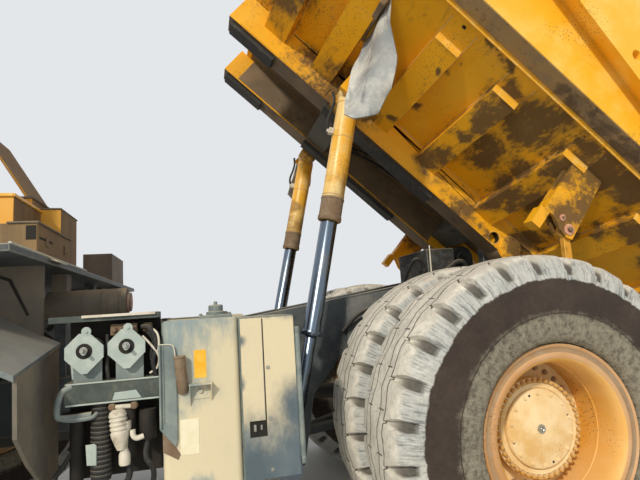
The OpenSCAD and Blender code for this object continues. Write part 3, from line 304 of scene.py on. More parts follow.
# Dark grey two-pack chassis paint under dry road dust, darkened round the hinge mounts with grease and
# painted shade
framePaint = weatheredPaint("chassis paint, dusty", "#3b4348", fade=("#5a6266", 0.6),
    grime=("#1f1a14", 0.3), dots=("#6b6355", 0.3), dust=("#a39b88", 0.36), grimeSpots=hingeGreaseAndShade, fray=0.6,
    rough=0.55)
frameEdge = weatheredPaint("chassis paint, rubbed edge", "#6d7475", fade=("#8b8c83", 0.7),
    grime=("#4a3b2c", 0.3), dots=("#2a2724", 0.3), dust=("#aba38f", 0.5), rough=0.55)
gussetPaint = weatheredPaint("gusset paint, chalky grey", "#5c6164", fade=("#757877", 0.8, 200),
    grime=("#2e2d2a", 0.25), dots=("#9a968a", 0.6, 6), dust=("#8e8a7d", 0.4), rough=0.6)
castIron = weatheredPaint("cast iron, oily", "#4a4c4c", fade=("#5c5a54", 0.6), grime=("#1e1b18", 0.45),
    dust=("#8d8472", 0.35), rough=0.6, bumpMm=2.5)
# Grey-green sheet steel of the tanks: cream dust over blue-grey paint that shows where hands and brushes rub
tankPaint = weatheredPaint("tank paint, dust washed", "#7d8b8a", fade=("#a9ab9c", 0.7), grime=("#5b6463",),
    dots=("#4a3322", 0.12), dust=("#d5c7a3", 0.8, 520), streaks=0.2, rough=0.6)
tankEdge = weatheredPaint("tank paint, rubbed edge", "#8e9b9a", fade=("#c9c2a8", 0.8),
    dots=("#4a3322", 0.2), dust=("#d9cdb0", 0.5), rough=0.55)
hubPaint = weatheredPaint("hub paint, dusty", "#dcb775", fade=("#ecd6a8", 0.9),
    dots=("#6a5232", 0.35, 7), dust=("#f0dcb2", 0.8, 150), rough=0.6)
rimPaint = weatheredPaint("rim enamel, chalky", "#e3a844", fade=("#eac07c", 0.7), grime=("#4a3b2c", 0.26),
    dots=("#5b3517", 0.4, 9), dust=("#e0c193",), rough=0.5)
rimEdge = weatheredPaint("rim enamel, rubbed lip", "#bf8f5c", fade=("#d3ab80", 0.8),
    dots=("#4a3322", 0.4, 7), dust=("#d2b58c", 0.4), rough=0.5)
# Clay dust with painted shade, for the rim's hollow and the disc nuts behind the hub
rimDustAndShade = weatheredPaint("rim enamel under clay dust", "#a98250", fade=("#8d7a63", 0.9),
    grime=("#5b4a39", 0.3), dots=("#4a3322", 0.45, 8), dust=("#a7927a", 0.8, 120), rough=0.62)
studPaint = weatheredPaint("stud paint, handled", "#c08f3f", fade=("#caa263", 0.8),
    grime=("#55402a", 0.3, 60), dots=("#4a3322", 0.3, 5), dust=("#c2ab82", 0.45, 40), rough=0.58,
    bumpMm=0.6)
moulding = weatheredPaint("polypropylene, moulded", "#26282a", fade=("#3a3c3d", 0.5),
    dots=("#4a3322", 0.1), dust=("#9a927f",), rough=0.6)
padRubber = weatheredPaint("pad rubber, pressed", "#2c2c2b", fade=("#44423f", 0.6), grime=("#4a3b2c", 0.3),
    dots=("#4a3322", 0.1), dust=("#9c927e", 0.4), rough=0.75)
flapRubber = weatheredPaint("flap rubber, reinforced sheet", "#92989b", fade=("#c6c9c6", 0.9, 220),
    grime=("#3b4249", 0.34, 200), dots=("#4a3322", 0.2), dust=("#cfccc0", 0.5, 150), streaks=0.75,
    rough=0.5)


def polishedSteel(name, base, rough, smear):
    # Ground or plated steel with a light film of oil and dust
    material, tree, shader = newMaterial(name)
    place = addNode(tree, "TexCoord").outputs["Object"]
    film = noiseMask(tree, place, 180, 0.45, 0.8)
    colour = blend(tree, times(tree, film, smear), base, "#8b8577")
    tree.links.new(colour, shader.inputs["Base Color"])
    tree.links.new(plus(tree, rough, times(tree, film, smear * 0.5)), shader.inputs["Roughness"])
    shader.inputs["Metallic"].default_value = 1.0
    return material


# Painted reflection: the chrome's base is a dark blue-grey that stands for the surroundings it mirrors
rodChrome = polishedSteel("hard chrome, polished", "#6c7988", 0.24, 0.35)
# Painted shade with grease: dark brown on the sills' under and inner faces and on the floor between the sills
greaseAndShadePaint = weatheredPaint("body enamel under grease", "#6b5a45", fade=("#8a7354", 0.7, 420),
    grime=("#37302a", 0.45, 300), dots=("#2a221b", 0.4), dust=("#857766", 0.4), rough=0.7)
blockPaint = weatheredPaint("cross block, greasy", "#4b4a44", fade=("#5c584f", 0.7, 300),
    grime=("#1f1c18", 0.4, 200), dots=("#4a3322", 0.2), dust=("#746d60", 0.4), rough=0.65)
hoistEnamel = weatheredPaint("hoist enamel, specked with rust", "#eeb43a", fade=("#ecd79c", 0.8, 300),
    grime=("#a07a3f", 0.02), dots=("#4b3320", 0.9, 5), dust=("#dcc693", 0.3, 160), grimeSpots=hoistWear,
    fray=0.4, frayMm=40, rough=0.34)
zincSteel = polishedSteel("zinc plated steel, bright", "#b9bab4", 0.34, 0.8)


def clearGlass(name, tint, rough, alpha):
    material, tree, shader = newMaterial(name)
    shader.inputs["Base Color"].default_value = linearColour(tint)
    shader.inputs["Roughness"].default_value = rough
    shader.inputs["Alpha"].default_value = alpha
    shader.inputs["IOR"].default_value = 1.5
    place = addNode(tree, "TexCoord").outputs["Object"]
    dusty = noiseMask(tree, place, 300, 0.4, 0.9)
    mixed = blend(tree, times(tree, dusty, 0.4), tint, "#a49b86")
    tree.links.new(mixed, shader.inputs["Base Color"])
    return material


paneGlass = clearGlass("toughened glass, dusty", "#28353a", 0.06, 0.42)
lensGlass = clearGlass("lamp lens, pressed glass", "#dfe4e4", 0.12, 0.75)
redLens = clearGlass("acrylic lens, red", "#7a120c", 0.2, 0.9)

# Worn tread compound: pale dust on the tread and shoulders, a rubbed dark band below them, dusty near the
# rim. Ends, lines and sipes are in metres from the middle of the tread, and halves are half widths
tyreLook = {
    "treadEnd": 0.41, "bandEnd": 0.615, "tornMm": 90,
    # The groove colour is painted shade for the notches and sipes
    "tread": "#dbd8ce", "treadDark": "#a09d93", "groove": "#4a4640", "band": "#352b25",
    "wall": "#8f8a7a", "wallDark": "#544e43",
    "shoulder": "#b9bdbb", "shoulderDark": "#7d8284", "shoulderAt": (0.245, 0.285), "lineHalf": 0.0045,
    "sipeAt": (0.045, 0.118), "sipeSwing": (0.03, 0.026), "sipeHalf": 0.0056,
}


def tyreRubber():
    # The wrap map holds u in lug pitches round the tyre and v in metres from the middle of the tread
    material, tree, shader = newMaterial("tyre rubber, cured and dusty")
    coord = addNode(tree, "TexCoord")
    place = coord.outputs["Object"]
    wrap = addNode(tree, "UVMap", uv_map="wrap").outputs[0]
    split = addNode(tree, "SeparateXYZ", {0: wrap})
    across = maths(tree, "ABSOLUTE", split.outputs["Y"])
    swing = maths(tree, "ABSOLUTE", minus(tree, maths(tree, "FRACT", split.outputs["X"]), 0.5))
    cloud = noise(tree, place, tyreLook["tornMm"], 5.0, 0.7)["Fac"]
    torn = times(tree, minus(tree, cloud, 0.5), 0.05)
    reach = plus(tree, across, torn)
    scuffs = noiseMask(tree, place, 34, 0.44, 0.66, 7.0, 0.75)
    patches = noiseMask(tree, place, 260, 0.38, 0.7, 5.0)
    tread = blend(tree, times(tree, most(tree, scuffs, patches), 0.5), tyreLook["tread"],
        tyreLook["treadDark"])
    rake = addNode(tree, "Mapping", {"Vector": wrap, "Scale": (9.0, 4.0, 1.0)}).outputs[0]
    links = {"Vector": rake, "Scale": 1.6, "Detail": 5.0, "Roughness": 0.7}
    scratches = ramp(tree, addNode(tree, "TexNoise", links).outputs["Fac"], 0.46, 0.62)
    side = blend(tree, scratches, tyreLook["shoulder"], tyreLook["shoulderDark"])
    side = blend(tree, times(tree, patches, 0.35), side, tyreLook["tread"])
    tread = blend(tree, ramp(tree, plus(tree, across, torn), *tyreLook["shoulderAt"]), tread, side)
    wall = blend(tree, times(tree, most(tree, scuffs, times(tree, scratches, 0.45)), 0.9), tyreLook["wall"],
        tyreLook["wallDark"])
    band = blend(tree, times(tree, patches, 0.35), tyreLook["band"], "#57493f")
    colour = blend(tree, ramp(tree, reach, tyreLook["treadEnd"] - 0.006, tyreLook["treadEnd"] + 0.006),
        tread, band)
    bandEdge = plus(tree, reach, times(tree, torn, 1.5))
    colour = blend(tree, ramp(tree, bandEdge, tyreLook["bandEnd"] - 0.03, tyreLook["bandEnd"] + 0.03),
        colour, wall)
    ringGap = maths(tree, "ABSOLUTE", minus(tree, across, tyreLook["bandEnd"]))
    ringLine = maths(tree, "LESS_THAN", ringGap, tyreLook["lineHalf"])
    colour = blend(tree, times(tree, ringLine, 0.75), colour, "#2c241e")
    # Sipes and their ties drawn as dark lines of painted shade
    sipes = None
    for at, amount in zip(tyreLook["sipeAt"], tyreLook["sipeSwing"]):
        line = plus(tree, at, times(tree, swing, 2 * amount))
        near = maths(tree, "ABSOLUTE", minus(tree, across, line))
        cut = maths(tree, "LESS_THAN", near, tyreLook["sipeHalf"])
        sipes = cut if sipes is None else most(tree, sipes, cut)
    tie = maths(tree, "LESS_THAN", minus(tree, 0.5, swing), 0.018)
    tie = times(tree, tie, maths(tree, "LESS_THAN", across, tyreLook["sipeAt"][1]))
    tie = times(tree, tie, maths(tree, "GREATER_THAN", across, tyreLook["sipeAt"][0]))
    sipes = most(tree, sipes, tie)
    # Painted shade: the notches darken with their depth
    depth = addNode(tree, "Attribute", attribute_name="depth").outputs["Fac"]
    dark = most(tree, times(tree, sipes, 0.9), times(tree, ramp(tree, depth, 0.4, 1.0), 0.9))
    colour = blend(tree, dark, colour, tyreLook["groove"])
    height = minus(tree, times(tree, scuffs, 0.35), sipes)
    bump = addNode(tree, "Bump", {"Height": height, "Strength": 0.8, "Distance": 0.008})
    tree.links.new(colour, shader.inputs["Base Color"])
    tree.links.new(bump.outputs[0], shader.inputs["Normal"])
    shader.inputs["Roughness"].default_value = 0.82
    return material


treadRubber = tyreRubber()

# Shapes: each is a pair of vertices and faces

def gridShape(points, closeU=True, closeV=True):
    # Quads over a grid of points, joined round either way where asked
    nu, nv = points.shape[:2]
    index = np.arange(nu * nv).reshape(nu, nv)
    if closeU:
        index = np.vstack([index, index[:1]])
    if closeV:
        index = np.hstack([index, index[:, :1]])
    quads = np.stack([index[:-1, :-1], index[1:, :-1], index[1:, 1:], index[:-1, 1:]], -1)
    return points.reshape(-1, 3), quads.reshape(-1, 4).tolist()


def join(*shapes):
    # Several shapes as one
    verts, faces, start = [], [], 0
    for points, polygons in shapes:
        verts.append(np.asarray(points, float))
        faces += [[i + start for i in polygon] for polygon in polygons]
        start += len(points)
    return np.concatenate(verts), faces


def moved(shape, offset=(0, 0, 0), turn=None):
    # Turned by a matrix, then moved
    points = np.asarray(shape[0], float)
    if turn is not None:
        points = points @ np.asarray(turn, float).T
    return points + np.asarray(offset, float), shape[1]


def mirrored(shape):
    # The same shape on the other side of the truck
    return np.asarray(shape[0], float) * (1, -1, 1), [polygon[::-1] for polygon in shape[1]]


def bothSides(shape):
    return join(shape, mirrored(shape))


def axesTo(direction):
    # Matrix whose third column is the direction, with any two axes across it
    d = np.asarray(direction, float) / np.linalg.norm(direction)
    side = np.cross(d, (0, 0, 1) if abs(d[2]) < 0.9 else (1, 0, 0))
    side /= np.linalg.norm(side)
    return np.stack([side, np.cross(d, side), d], 1)


def boxes(rows, bevel=0.004):
    # Chamfered boxes from rows of lowest and highest corner: each corner gives a point on its three faces
    low, high = (np.array([row[i] for row in rows], float) for i in (0, 1))
    middle, half = (low + high) / 2, (high - low) / 2
    b = np.minimum(bevel, half * 0.6)
    signs = np.array([(x, y, z) for x in (-1, 1) for y in (-1, 1) for z in (-1, 1)], float)
    pull = 1 - np.eye(3)
    points = signs[None, :, None, :] * (half[:, None, None, :] - pull[None, None] * b[:, None, None, :])
    points = (points + middle[:, None, None, :]).reshape(len(rows), 24, 3)
    faces = []
    for a in range(3):
        c, d = (a + 1) % 3, (a + 2) % 3
        for s in (-1, 1):
            loop = [signs.tolist().index([{a: s, c: p, d: q}[k] for k in range(3)]) * 3 + a
                    for p, q in ((-1, -1), (1, -1), (1, 1), (-1, 1))]
            faces.append(loop if s > 0 else loop[::-1])
            for t in (-1, 1):
                ends = [signs.tolist().index([{a: s, c: t, d: q}[k] for k in range(3)]) for q in (-1, 1)]
                loop = [ends[0] * 3 + a, ends[0] * 3 + c, ends[1] * 3 + c, ends[1] * 3 + a]
                faces.append(loop if s * t > 0 else loop[::-1])
    for i, s in enumerate(signs):
        loop = [i * 3, i * 3 + 1, i * 3 + 2]
        faces.append(loop if s.prod() > 0 else loop[::-1])
    every = [[j + 24 * n for j in face] for n in range(len(rows)) for face in faces]
    return points.reshape(-1, 3), every


def lathe(profile, n=96, closed=True):
    # The profile of radius and place along Y carried round the Y axis
    p = np.asarray(profile, float)
    angle = np.linspace(0, 2 * np.pi, n, endpoint=False)[:, None]
    radius, along = p[None, :, 0], np.broadcast_to(p[:, 1], (n, len(p)))
    points = np.stack([radius * np.sin(angle), along, radius * np.cos(angle)], -1)
    return gridShape(points, True, closed)


def plate(outline, low, high, bevel=0.003):
    # Outline in X and Y carried up Z, its rim drawn in at both faces by the bevel along the mitre
    p = np.asarray(outline, float)
    ahead, back = np.roll(p, -1, 0) - p, p - np.roll(p, 1, 0)
    if np.sum(p[:, 0] * np.roll(p[:, 1], -1) - p[:, 1] * np.roll(p[:, 0], -1)) < 0:
        return plate(p[::-1], low, high, bevel)
    norms = [np.stack([e[:, 1], -e[:, 0]], 1) / np.linalg.norm(e, axis=1)[:, None] for e in (ahead, back)]
    mitre = norms[0] + norms[1]
    mitre /= np.maximum((mitre * norms[0]).sum(1), 0.3)[:, None]
    small = p - mitre * bevel
    rings = [(small, low), (p, low + bevel), (p, high - bevel), (small, high)]
    points = np.array([np.column_stack([ring, np.full(len(p), z)]) for ring, z in rings])
    verts, faces = gridShape(points, False, True)
    n = len(p)
    faces = [face[::-1] for face in faces]
    return verts, faces + [list(range(n))[::-1], list(range(3 * n, 4 * n))]


def smoothPath(points, n=40):
    # Catmull-Rom curve through the points, sampled evenly in its parameter
    p = np.asarray(points, float)
    p = np.vstack([2 * p[0] - p[1], p, 2 * p[-1] - p[-2]])
    t = np.linspace(0, len(p) - 3 - 1e-9, n)
    i, u = t.astype(int), (t % 1)[:, None]
    a, b, c, d = p[i], p[i + 1], p[i + 2], p[i + 3]
    bend, swing = 2 * a - 5 * b + 4 * c - d, 3 * b - a - 3 * c + d
    return 0.5 * (2 * b + (c - a) * u + bend * u ** 2 + swing * u ** 3)


def tube(path, radius, sides=12):
    # A circle carried along a path; its normals come from the plane that fits the path best
    p = np.asarray(path, float)
    run = np.gradient(p, axis=0)
    run /= np.linalg.norm(run, axis=1)[:, None]
    flat = np.linalg.svd(p - p.mean(0) + 1e-9 * np.arange(len(p))[:, None])[2][2]
    across = np.cross(run, flat)
    across /= np.linalg.norm(across, axis=1)[:, None]
    up = np.cross(across, run)
    angle = np.linspace(0, 2 * np.pi, sides, endpoint=False)
    r = np.broadcast_to(radius, len(p))[:, None, None]
    cos, sin = np.cos(angle)[None, :, None], np.sin(angle)[None, :, None]
    ring = p[:, None] + r * (cos * across[:, None] + sin * up[:, None])
    verts, faces = gridShape(ring, False, True)
    last = len(verts) - sides
    return verts, faces + [list(range(sides)), list(range(last, last + sides))[::-1]]


def pipe(points, steps, radius, sides=12):
    # A tube along the smooth curve through the points
    return tube(smoothPath(points, steps), radius, sides)


def rodShape(a, b, radius, sides=16):
    return tube(np.linspace(a, b, 2), radius, sides)


def bandProfile(radius, start, rise, width, ease):
    # Strap round a cylinder: up its slope, along and down
    return [(radius, start), (radius + rise, start + ease), (radius + rise, start + width - ease),
        (radius, start + width)]


def atPlaces(template, places, direction):
    # One template, drawn up Z, turned to the direction and copied to each place
    verts, faces = template
    verts = verts @ axesTo(direction).T
    places = np.asarray(places, float).reshape(-1, 3)
    every = (places[:, None, :] + verts[None]).reshape(-1, 3)
    return every, [[i + n * len(verts) for i in face] for n in range(len(places)) for face in faces]


def stacked(levels, sides):
    # Rings of radius and height with a lid on the last
    angle = np.linspace(0, 2 * np.pi, sides, endpoint=False)
    circle = np.stack([np.cos(angle), np.sin(angle)], 1)
    rings = np.array([np.column_stack([circle * r, np.full(sides, z)]) for r, z in levels])
    verts, faces = gridShape(rings, False, True)
    last = (len(levels) - 1) * sides
    return verts, faces + [list(range(last, last + sides))[::-1]]


def bolts(places, direction, radius, height, sides=6, washer=1.3):
    # Hexagon heads, each on a round washer
    head = stacked([(radius, 0), (radius, height * 0.85), (radius * 0.85, height)], sides)
    disc = stacked([(radius * washer, 0), (radius * washer, height * 0.18)], 14)
    return atPlaces(join(head, disc), places, direction)


def ringPlaces(centre, radius, count, y, phase=0.0):
    # Places round a circle in X and Z
    angle = np.linspace(0, 2 * np.pi, count, endpoint=False) + phase
    x, z = centre[0] + radius * np.sin(angle), centre[2] + radius * np.cos(angle)
    return np.stack([x, np.full(count, y), z], 1)


def domes(places, direction, radius, height, sides=12):
    # Round-headed studs: a short cylinder under an arc
    levels = [(1, 0), (1, 0.45), (0.92, 0.72), (0.7, 0.92), (0.35, 1.0)]
    return atPlaces(stacked([(radius * r, height * z) for r, z in levels], sides), places, direction)


# Points closer than the gaps, in metres, are one; CAD faces within flatDeg make one flat face, and edges
# sharper than edgeDeg are rounded
seamGap, cadGap, flatDeg, edgeDeg = 0.00002, 0.0001, 0.6, 28


def pickFaces(mesh, rule):
    # Material number of each face from its middle and its normal
    centres, normals = np.zeros(len(mesh.polygons) * 3), np.zeros(len(mesh.polygons) * 3)
    mesh.polygons.foreach_get("center", centres)
    mesh.polygons.foreach_get("normal", normals)
    picked = rule(centres.reshape(-1, 3), normals.reshape(-1, 3))
    mesh.polygons.foreach_set("material_index", np.asarray(picked, dtype=np.int32))


def makePiece(name, shape, body, material, slotName, replaced=(), smoothDeg=32, pick=None):
    # Puts a shape into a mesh with its material, closes seams and lets it ride on its body
    mesh = bpy.data.meshes.new(name)
    mesh.from_pydata(np.asarray(shape[0]).tolist(), [], shape[1])
    for entry in material if isinstance(material, (list, tuple)) else [material]:
        mesh.materials.append(entry)
    work = bmesh.new()
    work.from_mesh(mesh)
    bmesh.ops.remove_doubles(work, verts=work.verts, dist=seamGap)
    bmesh.ops.recalc_face_normals(work, faces=work.faces)
    work.to_mesh(mesh)
    work.free()
    mesh.shade_smooth()
    if pick:
        pickFaces(mesh, pick)
    piece = bpy.data.objects.new(name, mesh)
    scene.collection.objects.link(piece)
    mesh.set_sharp_from_angle(angle=math.radians(smoothDeg))
    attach(piece, body)
    if replaced:
        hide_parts(*replaced)
    return piece


def addBevel(piece, width, edgeMaterial):
    # Two-step rounding of sharp edges, in the given material
    bevel = piece.modifiers.new("rounded edges", "BEVEL")
    bevel.width = width
    bevel.segments = 2
    bevel.limit_method = "ANGLE"
    bevel.angle_limit = math.radians(edgeDeg)
    bevel.harden_normals = True
    bevel.material = edgeMaterial


def dress(node, materials, width=0.006, pick=None):
    # A CAD node keeps its shape: its triangles are welded into faces and its edges rounded and rubbed
    piece = frame["nodes"][node]
    piece.data.materials.clear()
    for material in materials:
        piece.data.materials.append(material)
    if pick:
        pickFaces(piece.data, pick)
    if not width:
        return
    weld = piece.modifiers.new("weld", "WELD")
    weld.merge_threshold = cadGap
    flat = piece.modifiers.new("flat faces", "DECIMATE")
    flat.decimate_type = "DISSOLVE"
    flat.delimit = {"MATERIAL"}
    flat.angle_limit = math.radians(flatDeg)
    addBevel(piece, width, -1 if pick else len(materials) - 1)


print("frame nodes")
bodyCoat, machineCoat = (bodyEnamel, bodyEdge), (machineEnamel, machineEdge)
ejectorCoat = (weatheredPaint("ejector enamel, stained", "#d59a2c", fade=("#c99d50", 0.7, 160),
    grime=("#5e3f1c", 0.5, 120), dots=("#5a3516", 0.5, 8), rough=0.55), bodyEdge)
chassisCoat, tankCoat = (framePaint, frameEdge), (tankPaint, tankEdge)
coats = {
    bodyCoat: ("bed_canopy bed_ribs", 0.008), ejectorCoat: ("rock_ejector_left rock_ejector_right", 0.008),
    machineCoat: ("hood cab_shell cab_door handrails ladders air_cleaners", 0.006),
    (hoistEnamel, machineEdge): ("hoist_barrel_left hoist_barrel_right", 0.006),
    chassisCoat: ("frame_rails front_bumper radiator_guard rear_axle rear_suspension front_struts deck "
                  "knuckle_left knuckle_right tie_rod", 0.007),
    tankCoat: ("fuel_tank", 0.006),
    (castIron,): ("engine transmission", 0.012),
    (moulding,): ("cab_interior mirrors", 0.008),
    (padRubber,): ("sill_pads", 0.004),
    (rodChrome,): ("hoist_tube_left hoist_tube_right hoist_rod_left hoist_rod_right", 0.002),
    (paneGlass,): ("cab_glass cab_door_glass", 0),
    (lensGlass,): ("headlamps", 0.004),
    (redLens,): ("tail_lamps", 0.004),
}
for coat, (names, width) in coats.items():
    for name in names.split():
        dress(name, coat, width)

print("tyres")
# Notches start at notchTip from the middle, are full at the shoulder and run out at notchFoot's radius
tyre = {
    "radius": 1.085, "lugs": 28, "notchHalf": 0.042, "notchDepth": 0.055, "notchTip": 0.105,
    "shoulder": 0.245, "notchFoot": 0.93, "lean": 0.25, "blockRows": 8,
    # Radius and distance from the middle, from the crown down to the bead seat
    "halfProfile": [(1.085, 0.0), (1.084, 0.045), (1.083, 0.09), (1.081, 0.125), (1.078, 0.16),
        (1.074, 0.195), (1.068, 0.222), (1.058, 0.243), (1.040, 0.262), (1.012, 0.279), (0.988, 0.289),
        (0.982, 0.298), (0.976, 0.303), (0.950, 0.309), (0.932, 0.312), (0.90, 0.318), (0.86, 0.3235),
        (0.81, 0.3268), (0.76, 0.327), (0.71, 0.3245), (0.66, 0.319), (0.615, 0.311), (0.578, 0.301),
        (0.556, 0.290), (0.545, 0.272), (0.541, 0.2635)],
    "bead": [(0.537, 0.218), (0.449, 0.214)],
}


def tyreShape():
    # Columns follow the notch edges round the tyre, and rows the profile; a notch lowers its own columns
    half = np.array(tyre["halfProfile"] + tyre["bead"])
    full = np.vstack([(half * (1, -1))[::-1], half[1:]])
    steps = np.linalg.norm(np.diff(half, axis=0), axis=1)
    arc = np.concatenate([[0], np.cumsum(steps)])
    v = np.concatenate([-arc[::-1], arc[1:]])
    radius, across = full[:, 0], full[:, 1]
    side, far = np.sign(across), np.abs(across)
    pitch = 2 * np.pi / tyre["lugs"]
    outer = np.clip((far - tyre["notchTip"]) / (tyre["shoulder"] - tyre["notchTip"]), 0, 1)
    foot = np.clip((radius - tyre["notchFoot"]) / 0.05, 0, 1)
    wide = np.maximum(tyre["notchHalf"] * outer ** 0.9, 0.003) / (tyre["radius"] * pitch)
    deep = tyre["notchDepth"] * np.minimum(outer ** 0.6, 1) * foot * (radius > 0.925)
    deep = deep * (0.35 + 0.65 * np.clip((radius - 0.95) / 0.06, 0, 1))
    edge = [-1.0, -0.62, 0.0, 0.62, 1.0]
    block = np.linspace(0, 1, tyre["blockRows"] + 2)[1:-1]
    columns = np.array([k * wide for k in edge] + [wide + t * (1 - 2 * wide) for t in block])
    sink = np.array([0, 1, 1, 1, 0] + [0] * len(block))[:, None] * deep
    worn = np.array([0.004, 0, 0, 0, 0.004] + [0] * len(block))[:, None] * outer
    lug = np.arange(tyre["lugs"])[:, None, None]
    lean = tyre["lean"] * np.clip(across / tyre["notchTip"], -1, 1)
    theta = (lug + columns[None] + lean).reshape(-1, len(v)) * pitch
    wobble = 0.0025 * np.sin(theta * 9 + side * 2) + 0.002 * np.sin(theta * 23 + v * 30)
    ripple = np.sin(theta * 71 + v * 90) * np.sin(theta * 37 - v * 55)
    chips = 0.004 * np.maximum(0, ripple - 0.55) * (radius > 1.0)
    drop = np.tile(sink + worn, (tyre["lugs"], 1)) + chips + wobble * (radius > 0.95)
    r = radius[None] - drop
    y = across[None] - side[None] * drop * 0.35 * np.clip((1.06 - radius) / 0.06, 0, 1)
    points = np.stack([r * np.sin(theta), y, r * np.cos(theta)], -1)
    wrapU = theta / pitch
    shade = np.clip(np.tile(sink, (tyre["lugs"], 1)) / tyre["notchDepth"], 0, 1)
    return points, wrapU, np.broadcast_to(v, wrapU.shape), shade


tyreGrid = tyreShape()


def makeTyres(name, centres, body, node):
    # The same tyre at each centre, with its wrap map and groove depth
    points, wrapU, wrapV, shade = tyreGrid
    single = gridShape(points, True, True)
    verts, faces = join(*(moved(single, centre) for centre in centres))
    mesh = bpy.data.meshes.new(name)
    mesh.from_pydata(verts.tolist(), [], [face[::-1] for face in faces])
    nu, nv = points.shape[:2]
    corner = np.zeros(len(mesh.loops), dtype=np.int32)
    mesh.loops.foreach_get("vertex_index", corner)
    corner = corner % (nu * nv)
    loopU, loopV = wrapU.reshape(-1)[corner], wrapV.reshape(-1)[corner]
    groups = loopU.reshape(-1, 4)
    wraps = (groups.max(1) - groups.min(1)) > tyre["lugs"] / 2
    groups[wraps] = np.where(groups[wraps] < tyre["lugs"] / 2, groups[wraps] + tyre["lugs"], groups[wraps])
    wrap = mesh.uv_layers.new(name="wrap")
    wrap.data.foreach_set("uv", np.column_stack([groups.reshape(-1), loopV]).reshape(-1))
    depth = mesh.attributes.new("depth", "FLOAT", "POINT")
    depth.data.foreach_set("value", np.tile(shade.reshape(-1), len(centres)).astype(np.float32))
    mesh.materials.append(treadRubber)
    mesh.shade_smooth()
    mesh.set_sharp_from_angle(angle=math.radians(38))
    piece = bpy.data.objects.new(name, mesh)
    scene.collection.objects.link(piece)
    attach(piece, body)
    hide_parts(node)


for side in ("left", "right"):
    middle = boxOf(f"rear_tyres_{side}")[2]
    twinHalf = np.array([0, 0.371, 0])
    makeTyres(f"rearTyres_{side}", [middle - twinHalf, middle + twinHalf], f"rear_wheel_{side}",
        f"rear_tyres_{side}")
    makeTyres(f"frontTyre_{side}", [boxOf(f"front_tyre_{side}")[2]], f"front_wheel_{side}",
        f"front_tyre_{side}")

print("wheels")
# Radius and distance from the middle of a rim, in metres: its face from the lip in to the drum, and its back
wheel = {
    "drum": 0.417, "bead": 0.445, "twin": 0.371, "weld": (0.044, 0.062),
    "face": [(0.5315, 0.2545), (0.5265, 0.2588), (0.5195, 0.2578), (0.5125, 0.2520), (0.5015, 0.2475),
        (0.4890, 0.2475), (0.4810, 0.2520), (0.4750, 0.2580), (0.4665, 0.2590), (0.4560, 0.2585),
        (0.4470, 0.2550), (0.4380, 0.2465), (0.4290, 0.2330), (0.4220, 0.2150), (0.4180, 0.1950)],
    "back": [(0.449, 0.214), (0.500, 0.219), (0.529, 0.224), (0.5325, 0.230), (0.533, 0.246)],
    "studs": 44, "studAt": (0.2900, 0.3975), "coverBolts": 14, "coverBoltAt": (0.2150, 0.4255), "holes": 4,
    "discBolts": 28, "discBoltAt": (0.366, 0.2605),
    # Where the lip's finish starts out from the middle and in radius, and the radii of the hollow with dust
    # and painted shade
    "lipOut": 0.21, "lipFrom": 0.446, "hollow": (0.4795, 0.5155),
}
rearHub = [(0, 0.4255), (0.229, 0.4255), (0.236, 0.4215), (0.2395, 0.415), (0.2405, 0.398), (0.2445, 0.396),
    (0.2465, 0.404), (0.2605, 0.404), (0.2615, 0.402), (0.264, 0.402), (0.265, 0.404), (0.273, 0.404),
    (0.2745, 0.3975), (0.301, 0.3975), (0.3055, 0.394), (0.306, 0.336), (0.303, 0.3305), (0.283, 0.330),
    (0.2805, 0.326), (0.2795, 0.264), (0.285, 0.2605), (0.400, 0.2605), (0.410, 0.262), (0.4165, 0.266),
    (0.4165, 0.219), (0.281, 0.2195), (0.281, -0.556), (0.277, -0.560), (0.125, -0.560)]
frontHub = [(0, 0.149), (0.142, 0.149), (0.152, 0.145), (0.176, 0.123), (0.186, 0.119), (0.209, 0.1145),
    (0.2145, 0.110), (0.215, 0.066), (0.219, 0.0615), (0.254, 0.0605), (0.2595, 0.055), (0.260, 0.004),
    (0.264, 0.0005), (0.400, 0.0005), (0.4165, 0.005), (0.4165, -0.040), (0.231, -0.0405), (0.230, -0.326),
    (0.226, -0.330), (0.095, -0.330)]


def rimProfile(offset):
    # One half of a rim or of a pair, from the drum out round the lip and back along the tyre's seat
    low, high = wheel["weld"]
    drum, bead = wheel["drum"], wheel["bead"]
    rise = [(drum, 0), (drum, offset + low), (drum - 0.0035, offset + low + 0.004),
        (drum - 0.0035, offset + high - 0.004), (drum, offset + high), (drum, offset + 0.15)]
    lip = [(r, offset + y) for r, y in wheel["face"][::-1] + wheel["back"][::-1]]
    seat = [(bead, offset + 0.2)]
    if offset:
        inner = [(bead, -0.200), (0.449, -0.214), (0.5, -0.219), (0.533, -0.230), (0.533, -0.252),
            (0.528, -0.259), (0.470, -0.259), (bead, -0.255)]
        seat += [(r, offset + y) for r, y in inner]
    half = rise + lip + seat + [(bead, 0)]
    return half + [(r, -y) for r, y in half[::-1]][1:-1]


def ringAt(key, count, phase=0.0):
    radius, y = wheel[key]
    return ringPlaces((0, 0, 0), radius, wheel[count], y, phase)


